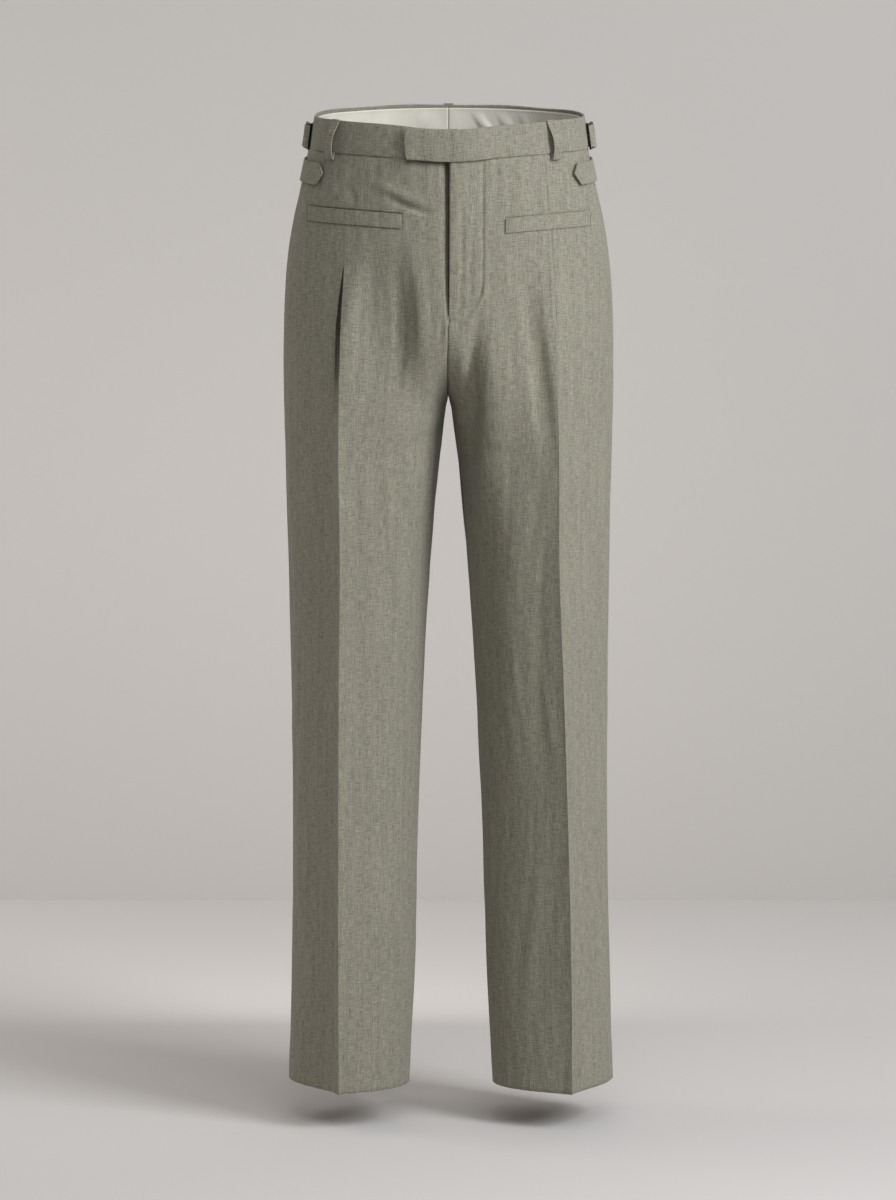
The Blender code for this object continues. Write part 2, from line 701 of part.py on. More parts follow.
for side in (LEFT, RIGHT):
    panel(side, FRONT)
    panel(side, BACK)
    waistband(side)
    waistband_lining(side)
    welt(side)
    adjuster_strap(side)
    adjuster_buckle(side)
    adjuster_tab(side)
fly_underlap()
for loop in LOOP_AT:
    belt_loop(loop)
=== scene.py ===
"""Looks for a pair of pleated wide-leg dress trousers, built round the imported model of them."""

import math
from collections import namedtuple

import bpy
import numpy as np
from mathutils import Matrix, Vector


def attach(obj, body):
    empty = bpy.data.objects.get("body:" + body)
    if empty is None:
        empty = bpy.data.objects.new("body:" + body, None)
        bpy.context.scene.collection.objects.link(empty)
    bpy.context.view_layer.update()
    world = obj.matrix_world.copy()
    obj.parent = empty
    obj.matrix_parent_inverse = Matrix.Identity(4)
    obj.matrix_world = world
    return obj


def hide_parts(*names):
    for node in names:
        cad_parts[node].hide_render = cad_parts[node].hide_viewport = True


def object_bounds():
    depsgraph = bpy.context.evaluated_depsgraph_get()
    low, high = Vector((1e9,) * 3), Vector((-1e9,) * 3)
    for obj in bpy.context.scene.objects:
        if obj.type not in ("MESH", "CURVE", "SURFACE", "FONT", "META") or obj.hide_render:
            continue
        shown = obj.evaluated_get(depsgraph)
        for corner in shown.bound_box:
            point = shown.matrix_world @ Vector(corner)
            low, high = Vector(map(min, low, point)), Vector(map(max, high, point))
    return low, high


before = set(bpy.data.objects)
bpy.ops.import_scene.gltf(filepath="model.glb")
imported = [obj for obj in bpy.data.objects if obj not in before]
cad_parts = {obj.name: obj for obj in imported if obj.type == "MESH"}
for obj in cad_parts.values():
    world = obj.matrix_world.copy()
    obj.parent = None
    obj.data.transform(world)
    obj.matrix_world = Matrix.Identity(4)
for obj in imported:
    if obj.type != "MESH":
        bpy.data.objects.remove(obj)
cad_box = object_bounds()

# ==== Camera ====
# A long lens some ten metres away and a little above the waist, so the legs stay parallel. It aims
# at the middle of the trousers.
CAMERA_AIM = Vector((-0.0005, 0.0, -0.5298))
CAMERA_DISTANCE = 10.0
CAMERA_RISE = math.radians(9.3)

camera = bpy.data.objects.new("camera", bpy.data.cameras.new("camera"))
bpy.context.scene.collection.objects.link(camera)
bpy.context.scene.camera = camera
camera.location = CAMERA_AIM + CAMERA_DISTANCE * Vector((0, -math.cos(CAMERA_RISE), math.sin(CAMERA_RISE)))
camera.rotation_euler = (CAMERA_AIM - camera.location).to_track_quat("-Z", "Y").to_euler()
camera.data.sensor_fit = "VERTICAL"
camera.data.sensor_height = 36
camera.data.lens = 266
camera.data.clip_end = 60

# ==== Room and light ====
# A studio corner: a pale matt floor a hand's breadth below the hems, and a painted wall behind.
# The key light stands high to the wearer's left, with a softer one behind it and one overhead. Small
# washes even out the wall and the floor.
ROOM_SIZE = 30
FLOOR_BELOW_HEM = 0.045
WALL_BEHIND = 1.27
FLOOR_PAINT, WALL_PAINT = "d2cdca", "c0bbb7"


def paint(hex_text):
    """An sRGB colour as the linear values that a shader takes."""
    channels = [int(hex_text[k:k + 2], 16) / 255 for k in (0, 2, 4)]
    linear = [c / 12.92 if c < 0.04045 else ((c + 0.055) / 1.055) ** 2.4 for c in channels]
    return (*linear, 1.0)


def set_inputs(node, inputs):
    """Gives a node's inputs, by name or number, their values or the sockets that feed them."""
    for name, value in inputs.items():
        if isinstance(value, bpy.types.NodeSocket):
            node.id_data.links.new(value, node.inputs[name])
        else:
            node.inputs[name].default_value = value


def add_node(tree, kind, inputs=None, colours=(), **settings):
    """A new node with its settings, and with its inputs set or linked. colours are a ramp's own."""
    node = tree.nodes.new(kind)
    for name, value in settings.items():
        setattr(node, name, value)
    for place, hex_text in enumerate(colours):
        node.color_ramp.elements[place].color = paint(hex_text)
    set_inputs(node, inputs or {})
    return node


def new_finish(name):
    """A new material, with its node tree and its shader."""
    finish = bpy.data.materials.new(name)
    finish.use_nodes = True
    return finish, finish.node_tree, finish.node_tree.nodes["Principled BSDF"]


def matt_paint(name, hex_text):
    finish, _, shader = new_finish(name)
    set_inputs(shader, {"Base Color": paint(hex_text), "Roughness": 0.9, "Specular IOR Level": 0.2})
    return finish


def room_side(name, place, turn, finish):
    bpy.ops.mesh.primitive_plane_add(size=ROOM_SIZE, location=place, rotation=turn)
    side = bpy.context.object
    side.name = name
    side.data.materials.append(finish)


floor_height = cad_box[0][2] - FLOOR_BELOW_HEM
floor_finish, wall_finish = matt_paint("floor_paint", FLOOR_PAINT), matt_paint("wall_paint", WALL_PAINT)
room_side("floor", (0, WALL_BEHIND - ROOM_SIZE / 2, floor_height), (0, 0, 0), floor_finish)
room_side("wall", (0, WALL_BEHIND, floor_height + ROOM_SIZE / 2), (math.pi / 2, 0, 0), wall_finish)
# The wall is clear from its far side, so that the back of the trousers can be looked at too.
tree = wall_finish.node_tree
far_side = add_node(tree, "ShaderNodeNewGeometry").outputs["Backfacing"]
clear = add_node(tree, "ShaderNodeBsdfTransparent").outputs["BSDF"]
one_way = add_node(tree, "ShaderNodeMixShader", {
    "Fac": far_side, 1: tree.nodes["Principled BSDF"].outputs["BSDF"], 2: clear})
set_inputs(tree.nodes["Material Output"], {"Surface": one_way.outputs["Shader"]})

COOL_LIGHT, WARM_LIGHT = "f5faff", "fffdf8"


def soft_light(name, place, aim, size, power, hex_text):
    light = bpy.data.objects.new(name, bpy.data.lights.new(name, "AREA"))
    bpy.context.scene.collection.objects.link(light)
    light.location = place
    light.rotation_euler = (Vector(aim) - Vector(place)).to_track_quat("-Z", "Y").to_euler()
    light.data.shape = "RECTANGLE"
    light.data.size, light.data.size_y = size
    light.data.energy = power
    light.data.color = paint(hex_text)[:3]
    light.visible_camera = False


for light in (
    ("key_light", (2.2, -1.8, 1.3), (0, 0, -0.4), (1.2, 1.6), 86, COOL_LIGHT),
    ("key_fill", (3.4, -2.4, 0.5), (0, 0, -0.5), (1.6, 2.4), 24, COOL_LIGHT),
    ("side_light", (2.8, -0.4, 0.6), (0, 0, -0.4), (1.2, 2.0), 7.4, WARM_LIGHT),
    ("top_light", (0.4, -2.2, 2.2), (0, 0, -0.5), (2.0, 2.0), 28, COOL_LIGHT),
    ("wall_wash", (-1.8, 0.2, 1.6), (-0.6, WALL_BEHIND, 0), (1.5, 1.5), 11.8, WARM_LIGHT),
    ("low_wall_wash", (-1.6, 0.5, -0.5), (-0.2, WALL_BEHIND, -0.8), (0.8, 0.8), 6.2, WARM_LIGHT),
    ("middle_wall_wash", (-0.1, 0.45, -0.72), (-0.1, WALL_BEHIND, -0.62), (0.5, 0.5), 1.5, WARM_LIGHT),
    ("floor_wash", (0, -1.2, 0.2), (0, -0.7, floor_height), (2.5, 1.0), 5.5, WARM_LIGHT),
):
    soft_light(*light)
bpy.context.scene.view_settings.view_transform = "Standard"
world = bpy.data.worlds.new("studio")
bpy.context.scene.world = world
world.use_nodes = True
set_inputs(world.node_tree.nodes["Background"], {"Color": paint(WARM_LIGHT), "Strength": 0.01})

# ==== The cut ====
# Trousers are cut to lines that meet in seams and pressed creases. Each row of a table is one level
# of the garment: its height, and how far out, and forward or back, the lines lie there.
BAND_TOP, BAND_SEAM = 0.019, -0.017
HEM = -1.081
FLY_END = -0.200
CROTCH_Y, CROTCH_Z = 0.015, -0.298
CROTCH_ROW, LEVEL_ROW = -0.352, -0.500
SEAM_GAP = 0.0003
LEFT, RIGHT = 1, -1
FRONT, BACK = -1, 1
SIDE_NAME = {LEFT: "left", RIGHT: "right"}
FACE_NAME = {FRONT: "front", BACK: "back"}


def table(columns, *rows):
    """Rows of numbers with named columns."""
    row = namedtuple("Row", columns)
    return [row(*numbers) for numbers in rows]


# The side seam, and the crease of each face. The angles, in and out, say how the cloth reaches the
# crease from the inside leg and leaves it to the side.
LEVELS = table(
    "z side_x side_y front_x front_depth front_in front_out back_x back_depth back_in back_out",
    (BAND_TOP, 0.151, 0.0, 0.107, 0.08, 38, 38, 0.104, 0.085, 38, 38),
    (BAND_SEAM, 0.156, 0.0, 0.109, 0.083, 37, 37, 0.106, 0.088, 37, 37),
    (-0.06, 0.165, 0.0, 0.112, 0.0885, 35, 35, 0.109, 0.099, 34, 34),
    (-0.1, 0.174, -0.001, 0.114, 0.0935, 32, 36, 0.11, 0.108, 32, 32),
    (-0.14, 0.18, -0.002, 0.116, 0.0985, 21, 40, 0.11, 0.115, 31, 31),
    (-0.2, 0.184, -0.003, 0.1195, 0.107, 7, 48, 0.108, 0.121, 26, 36),
    (-0.28, 0.1855, -0.003, 0.1218, 0.1155, -4, 55, 0.105, 0.119, 14, 46),
    (-0.36, 0.184, -0.001, 0.123, 0.118, -12, 59, 0.103, 0.112, 6, 52),
    (-0.48, 0.1815, 0.001, 0.1225, 0.112, -16, 60, 0.102, 0.104, 0, 56),
    (-0.62, 0.1795, 0.003, 0.1258, 0.104, -21, 60, 0.102, 0.098, 0, 57),
    (-0.8, 0.179, 0.006, 0.129, 0.096, -22, 60, 0.103, 0.093, 0, 58),
    (-0.95, 0.1815, 0.009, 0.1307, 0.091, -22, 60, 0.1045, 0.091, 2, 58),
    (HEM, 0.1855, 0.01, 0.131, 0.088, -20, 60, 0.107, 0.09, 2, 58),
)
CENTRE_SEAM = {
    FRONT: table("z depth", (BAND_TOP, 0.1215), (BAND_SEAM, 0.123), (-0.1, 0.125), (FLY_END, 0.125)),
    BACK: table("z depth", (BAND_TOP, 0.118), (BAND_SEAM, 0.121), (-0.08, 0.133), (-0.14, 0.142),
                (FLY_END, 0.143)),
}
INSEAM = table(
    "z x y",
    (CROTCH_Z, 0.0008, CROTCH_Y), (-0.33, 0.005, 0.011), (-0.4, 0.013, 0.005), (-0.49, 0.0205, 0.0),
    (-0.58, 0.0265, -0.004), (-0.68, 0.0315, -0.007), (-0.8, 0.0365, -0.01), (-0.95, 0.0405, -0.014),
    (HEM, 0.047, -0.018),
)
LEG_SWING = {LEFT: 0.0025, RIGHT: -0.0030}
CREASE_SWING = {LEFT: 0.0060, RIGHT: -0.0040}
SWING_STARTS = -0.250
# The waist isn't level: it dips at the middle of the front and rises towards the hips.
FRONT_DIP, HIP_RISE, SIDE_RISE, WAIST_LINE_ENDS = 0.0016, 0.0024, 0.0010, -0.085
HIP_BONE, WAIST_SIDE = 0.105, 0.151
GROOVE_ANGLE = math.radians(-87)
LEG_ANGLE = {FRONT: math.radians(-80), BACK: math.radians(-90)}
# The fronts stay full nearly to the inside leg: each row sets off this many times as far.
FULLNESS = table(
    "z reach",
    (-0.2, 1.0), (-0.26, 1.45), (-0.32, 1.9), (-0.4, 1.85), (-0.52, 1.5), (-0.7, 1.15), (-0.85, 1.0),
    (HEM, 1.0),
)
GROOVE_DROP = 0.55


def blend(low, high, value):
    """0 below low, 1 above high, with a smooth rise between them."""
    share = np.clip((value - low) / (high - low), 0, 1)
    return share * share * (3 - 2 * share)


def bump(t):
    """A soft bell: 1 at 0, and 0 beyond -1 and 1."""
    return np.where(np.abs(t) < 1, (1 - t * t) ** 2, 0)


def through(knots, values, at):
    """Values at places among rising knots, on a smooth curve through those given at the knots."""
    values = np.array(values, dtype=float).T
    start = np.clip(np.searchsorted(knots, at, side="right") - 1, 0, len(knots) - 2)
    before, end, after = np.maximum(start - 1, 0), start + 1, np.minimum(start + 2, len(knots) - 1)
    span = knots[end] - knots[start]
    slope_start = (values[..., end] - values[..., before]) / (knots[end] - knots[before])
    slope_end = (values[..., after] - values[..., start]) / (knots[after] - knots[start])
    t = np.clip((at - knots[start]) / span, 0, 1)
    return (
        (2 * t**3 - 3 * t**2 + 1) * values[..., start]
        + (t**3 - 2 * t**2 + t) * span * slope_start
        + (3 * t**2 - 2 * t**3) * values[..., end]
        + (t**3 - t**2) * span * slope_end
    ).T


def along_line(rows, column, z):
    """A column of a table at each height, on a smooth curve through its rows."""
    return through(np.array([-row.z for row in rows]), [getattr(row, column) for row in rows], -z)


def heading(angle, face, drop=0.0):
    """Directions that run outwards at an angle from the X axis, turned back towards the side."""
    ways = np.stack(np.broadcast_arrays(np.cos(angle), -face * np.sin(angle), -drop), axis=-1)
    return ways / np.linalg.norm(ways, axis=-1, keepdims=True)


def arcs(start, start_way, end, end_way, shares, full=1.0):
    """The fair curve of each row, from start to end with those headings, at shares of its way."""
    turn = np.arccos(np.clip(np.sum(start_way * end_way, axis=-1), -1, 1))
    reach = np.linalg.norm(end - start, axis=-1) / (3 * np.cos(turn / 4) ** 2)
    fuller = np.stack(np.broadcast_arrays(full, full, np.ones_like(reach)), axis=-1)
    first = start + reach[:, None] * start_way * fuller
    second = end - reach[:, None] * end_way
    t = np.atleast_2d(shares)[..., None]
    return (
        (1 - t) ** 3 * start[:, None]
        + 3 * (1 - t) ** 2 * t * first[:, None]
        + 3 * (1 - t) * t**2 * second[:, None]
        + t**3 * end[:, None]
    )


def swing(z):
    return np.where(z < SWING_STARTS, blend(SWING_STARTS, HEM, z), 0)


def side_seam(side, z):
    x = along_line(LEVELS, "side_x", z) + LEG_SWING[side] * swing(z)
    return np.stack((x, along_line(LEVELS, "side_y", z), z), axis=-1)


def crease_line(side, face, z):
    x = along_line(LEVELS, FACE_NAME[face] + "_x", z) + LEG_SWING[side] * swing(z)
    if face == FRONT:
        x = x + CREASE_SWING[side] * swing(z)
    return np.stack((x, face * along_line(LEVELS, FACE_NAME[face] + "_depth", z), z), axis=-1)


def inner_line(side, face, z):
    """Where each row starts, on the centre seam or the inside leg, and which way it sets off."""
    on_centre, on_rise = z >= FLY_END, z >= CROTCH_ROW
    under = np.clip((FLY_END - z) / (FLY_END - CROTCH_ROW), 0, 1)
    level = blend(0, 1, (CROTCH_ROW - z) / (CROTCH_ROW - LEVEL_ROW))
    own_z = z + (CROTCH_Z - CROTCH_ROW) * (1 - level)
    rise = face * CENTRE_SEAM[face][-1].depth - CROTCH_Y
    x = np.where(on_rise, 0, along_line(INSEAM, "x", own_z) + LEG_SWING[side] * swing(z))
    y = np.where(
        on_centre,
        face * along_line(CENTRE_SEAM[face], "depth", z),
        np.where(on_rise, CROTCH_Y + rise * np.cos(under * math.pi / 2), along_line(INSEAM, "y", own_z)),
    )
    height = np.where(
        on_centre, z, np.where(on_rise, FLY_END + (CROTCH_Z - FLY_END) * np.sin(under * math.pi / 2), own_z)
    )
    turned, on_leg = blend(0, 1, under), GROOVE_ANGLE + (LEG_ANGLE[face] - GROOVE_ANGLE) * level
    angle = np.where(on_rise, GROOVE_ANGLE * turned, on_leg)
    drop = np.where(on_rise, GROOVE_DROP * turned, GROOVE_DROP * (1 - level))
    return np.stack((x, y, height), axis=-1), heading(angle, face, drop)


def waist_rise(face, x, z):
    """How far a row rises from level at x, near the waist."""
    in_front = (FRONT_DIP + HIP_RISE) * blend(0, HIP_BONE, x) - FRONT_DIP
    in_front = in_front - (HIP_RISE - SIDE_RISE) * blend(HIP_BONE + 0.010, WAIST_SIDE, x)
    rise = np.where(face == FRONT, in_front, SIDE_RISE * blend(HIP_BONE, WAIST_SIDE, x))
    return rise * blend(WAIST_LINE_ENDS, BAND_SEAM, z)


def bare_form(side, face, z, inner_shares, outer_shares):
    """The panel's outer face without folds, on the +X side, row by row from the inner edge."""
    start, setting_off = inner_line(side, face, z)
    crease = crease_line(side, face, z)
    way_in, way_out = (
        heading(np.radians(along_line(LEVELS, FACE_NAME[face] + way, z)), face) for way in ("_in", "_out")
    )
    side_way = heading(np.full(len(z), math.pi / 2), face)
    full = along_line(FULLNESS, "reach", z) if face == FRONT else 1.0
    inner = arcs(start, setting_off, crease, way_in, inner_shares, full)
    outer = arcs(crease, way_out, side_seam(side, z), side_way, outer_shares)
    for points in (inner, outer):
        points[..., 2] += waist_rise(face, points[..., 0], z[:, None])
    return inner, outer


def facing(points, face):
    """The direction out of a stretch of the form at each of its points."""
    along, down = np.gradient(points, axis=1), np.gradient(points, axis=0)
    out = face * np.cross(along, down)
    return out / np.linalg.norm(out, axis=-1, keepdims=True)


def run_length(points):
    """How far along its row each point is, in metres."""
    steps = np.linalg.norm(np.diff(points, axis=1), axis=-1)
    return np.concatenate((np.zeros((len(points), 1)), np.cumsum(steps, axis=1)), axis=1)


# ==== Fronts and backs ====
# Four panels of a dry wool and linen suiting, fine slubbed yarn in two greys. Each is cut as one
# piece with its crease on the straight grain, pressed, and sewn at the sides, rise and inside leg.
CLOTH = 0.0012
# The hem's fold goes this far in and down, and takes this much cloth. Its turning lies inside.
HEM_TURNING, HEM_INSIDE = 0.038, 0.0016
HEM_FOLD_IN, HEM_FOLD_DOWN, HEM_FOLD_LENGTH = 0.0008, 0.0006, 0.001
SEAM_ASIDE = 0.0007
# Pressing leaves the crease standing this far off the cloth: rising this near it, and fading this
# far from it, between the heights where it starts and is full.
PINCH, PINCH_NEAR, PINCH_FAR, PINCH_STARTS, PINCH_FULL = 0.0030, 0.012, 0.080, -0.16, -0.34
# Seams draw the cloth in by this much beside them, as far away as this. So does the band's seam.
SEAM_PULL, SEAM_REACH, BAND_PULL, BAND_REACH = 0.0007, 0.0016, 0.0011, 0.0010

# Outside its folded edge a pleat is a deep slot that opens downwards, then softens and closes.
PLEAT = dict(zip((RIGHT, LEFT), table(
    "z_top z_open z_soft z_closed width depth step fades",
    (-0.133, -0.205, -0.240, -0.345, 0.0102, 0.0170, 0.0016, 0.040),
    (-0.200, -0.260, -0.300, -0.400, 0.0020, 0.0010, 0.0004, 0.030),
)))
PLEAT_EDGE = 0.0009                  # how soon the cloth turns in behind the folded edge
# Folds are seen as troughs and, where depth is negative, ridges. Points are x and z on the front.
FOLD_COLUMNS = "x_top z_top x_mid z_mid x_low z_low width depth"
FOLDS = {
    FRONT: table(
        FOLD_COLUMNS,
        (0.036, -0.165, 0.027, -0.27, 0.022, -0.46, 0.034, 0.0085),
        (0.035, -0.182, 0.028, -0.225, 0.021, -0.31, 0.02, 0.004),
        (0.052, -0.17, 0.047, -0.28, 0.044, -0.47, 0.056, -0.005),
        (0.086, -0.13, 0.098, -0.23, 0.112, -0.37, 0.03, 0.006),
        (0.104, -0.32, 0.101, -0.56, 0.104, -0.8, 0.024, 0.002),
        (0.072, -0.35, 0.068, -0.56, 0.07, -0.8, 0.05, -0.0026),
        (0.121, -0.15, 0.129, -0.2, 0.138, -0.245, 0.016, 0.0012),
        (0.015, -0.04, 0.015, -0.11, 0.013, -0.2, 0.009, 0.0011),
        (0.026, -0.06, 0.025, -0.13, 0.022, -0.195, 0.009, 0.001),
        (-0.066, -0.11, -0.063, -0.19, -0.07, -0.35, 0.104, 0.01),
        (-0.064, -0.11, -0.0535, -0.195, -0.064, -0.3, 0.022, 0.0034),
        (-0.0585, -0.15, -0.0575, -0.19, -0.0595, -0.25, 0.008, 0.0014),
        (-0.044, -0.08, -0.033, -0.17, -0.03, -0.29, 0.026, -0.0032),
        (-0.008, -0.185, -0.008, -0.205, -0.01, -0.235, 0.01, 0.0016),
        (-0.088, -0.09, -0.106, -0.17, -0.113, -0.29, 0.024, -0.0016),
        (-0.08, -0.12, -0.084, -0.17, -0.088, -0.24, 0.018, 0.001),
        (-0.098, -0.036, -0.06, -0.054, -0.018, -0.07, 0.02, -0.0026),
        (-0.078, -0.05, -0.045, -0.069, -0.01, -0.078, 0.013, 0.0036),
        (-0.136, -0.046, -0.128, -0.056, -0.117, -0.07, 0.012, -0.0012),
        (-0.118, -0.046, -0.11, -0.056, -0.1, -0.072, 0.012, 0.001),
        (-0.102, -0.4, -0.101, -0.62, -0.104, -0.86, 0.022, 0.0012),
    ),
    BACK: table(
        FOLD_COLUMNS,
        (0.02, -0.33, 0.055, -0.29, 0.085, -0.262, 0.03, 0.005),
        (-0.02, -0.345, -0.052, -0.3, -0.08, -0.262, 0.03, 0.006),
        (0.022, -0.4, 0.045, -0.372, 0.068, -0.352, 0.026, 0.0035),
        (-0.02, -0.395, -0.045, -0.362, -0.072, -0.338, 0.026, 0.003),
        (0.06, -0.43, 0.07, -0.54, 0.075, -0.66, 0.034, 0.003),
        (-0.064, -0.42, -0.072, -0.53, -0.076, -0.68, 0.034, 0.003),
    ),
}
# Hanging cloth is never quite flat: long upright ripples a few tenths of a millimetre deep.
RIPPLES = table(
    "across down phase depth",
    (0.041, 0.67, 0.3, 0.00030), (0.027, 0.47, 2.1, 0.00024),
    (0.017, 0.39, 4.4, 0.00018), (0.011, 0.29, 1.2, 0.00012),
)
# The dart on the left front and the short seam on the right one are sewn lines, pressed flat.
SEWN_LINES = table(
    "x_top z_top x_low z_low depth",
    (0.106, -0.018, 0.111, -0.078, 0.0016), (0.114, -0.096, 0.1196, -0.205, 0.0013),
    (-0.143, -0.05, -0.1435, -0.08, 0.0005),
)
FLY_WIDTH, FLY_LIFT, FLY_LIFT_ENDS = 0.0385, 0.0034, -0.188
FLY_TURNS_Z, FLY_TURN_HEIGHT = -0.145, 0.053     # where the row of stitching starts to go round
STITCH_TROUGH, STITCH_RIDGE = 0.0013, 0.0007
UNDER_TAB_PRESS = 0.0052
FLY_DIP, FLY_GAP = 0.0030, 0.0065    # the right front gives way behind the fly, most along its edge
FLY_LAP = 0.0013                     # and the left one's edge lies this far past the middle
BAND_PRINT, BAND_PRINT_Z = 0.00025, -0.0300     # the lining's lower edge shows as a faint line

# Columns are close together at the crease and at the ends of the pockets' mouths, and rows at the
# height of the mouths.
MOUTH_ENDS = (0.4335, 0.5291, 0.5464)    # shares of the inner stretch, twice, and of the outer one


def merged(*parts):
    """The shares of several runs of columns in order, without those that all but touch the next."""
    shares = np.sort(np.concatenate(parts))
    return shares[np.append(np.diff(shares) > 0.0028, True)]


CREASE_SHARES = (0.945, 0.96, 0.97, 0.978, 0.985, 0.991, 0.996, 1)
INNER_SHARES = merged(
    np.linspace(0, 0.34, 31), np.linspace(0.358, 0.925, 33), CREASE_SHARES,
    MOUTH_ENDS[0] + np.arange(-3, 4) * 0.006, MOUTH_ENDS[1] + np.arange(-3, 4) * 0.006,
)
OUTER_SHARES = merged(
    np.linspace(0, 0.088, 23), np.linspace(0.104, 1, 42), MOUTH_ENDS[2] + np.arange(-3, 4) * 0.0075,
)
TUCKED_UNDER = 0.0032                # the panels' top edges go this far up into the band
PANEL_ROWS = np.concatenate((
    np.linspace(BAND_SEAM + TUCKED_UNDER, -0.0730, 20, endpoint=False),
    np.linspace(-0.0730, -0.1040, 50, endpoint=False),
    np.linspace(-0.1040, -0.2050, 40, endpoint=False),
    np.linspace(-0.2050, HEM, 186),
))


def from_line(x, z, ax, az, bx, bz):
    """How far along a straight line each point is, as a share of it, and how far to its side."""
    run_x, run_z = bx - ax, bz - az
    length = math.hypot(run_x, run_z)
    share = ((x - ax) * run_x + (z - az) * run_z) / length**2
    return share, ((x - ax) * run_z - (z - az) * run_x) / length


def fold_relief(face, x, z):
    """How far the folds take the cloth in, at points x, z of one face."""
    depth = np.zeros_like(x)
    for fold in FOLDS[face]:
        # A fold is a bent line: a parabola through its three points, in its own length.
        ends = fold.x_top, fold.z_top, fold.x_low, fold.z_low
        share, away = from_line(x, z, *ends)
        _, sag = from_line(fold.x_mid, fold.z_mid, *ends)
        bend = sag * 4 * np.clip(share, 0, 1) * (1 - np.clip(share, 0, 1))
        depth += fold.depth * bump(2 * share - 1) * bump((away - bend) / (fold.width / 2))
    return depth


def sewn_relief(x, z):
    """A trough along each sewn line, with a low ridge beside it where the cloth is turned under."""
    depth = np.zeros_like(x)
    for sewn in SEWN_LINES:
        share, away = from_line(x, z, sewn.x_top, sewn.z_top, sewn.x_low, sewn.z_low)
        across = bump(away / 0.0024) - 0.4 * bump((away - 0.003) / 0.004)
        depth += sewn.depth * across * ((share > 0) & (share < 1))
    return depth


def ripple_relief(side, face, run, height):
    depth = np.zeros_like(run)
    for ripple in RIPPLES:
        sway = 0.6 * np.sin(height / ripple.down * 6.3 + ripple.phase)
        wave = np.sin(6.283 * (run / ripple.across + sway) + side * face * ripple.phase)
        depth += ripple.depth * wave * np.sin(6.283 * height / ripple.down + 2 * ripple.phase)
    return depth


def fly_stitch_x(z):
    """The fly's row of stitching: straight down, then round to the edge in a J."""
    turn = np.clip((FLY_TURNS_Z - z) / FLY_TURN_HEIGHT, 0, 1)
    return FLY_WIDTH * np.sqrt(np.clip(1 - turn**2.2, 0, 1))


def from_fly_stitch(x, z):
    """How far outside the row of stitching a point is, measured squarely to the row."""
    level = fly_stitch_x(z)
    lean = (fly_stitch_x(z + 0.0005) - fly_stitch_x(z - 0.0005)) / 0.001
    return (x - level) / np.sqrt(1 + lean**2)


def pressed_under_tab(x, z):
    """1 along the right front's seam to the band, as far as the tab covers it, and 0 away from it."""
    along = blend(-0.052, -0.044, x) * (1 - blend(0.002, 0.012, x))
    return along * np.exp(-np.abs(z - BAND_SEAM) / 0.0034)


def inner_facing_end(out_inner, out_outer):
    """The facings of the inner stretch, with the crease's own half-way between its two sides."""
    out = out_inner.copy()
    crease = out_inner[:, -1] + out_outer[:, 0]
    out[:, -1] = crease / np.linalg.norm(crease, axis=-1, keepdims=True)
    return out


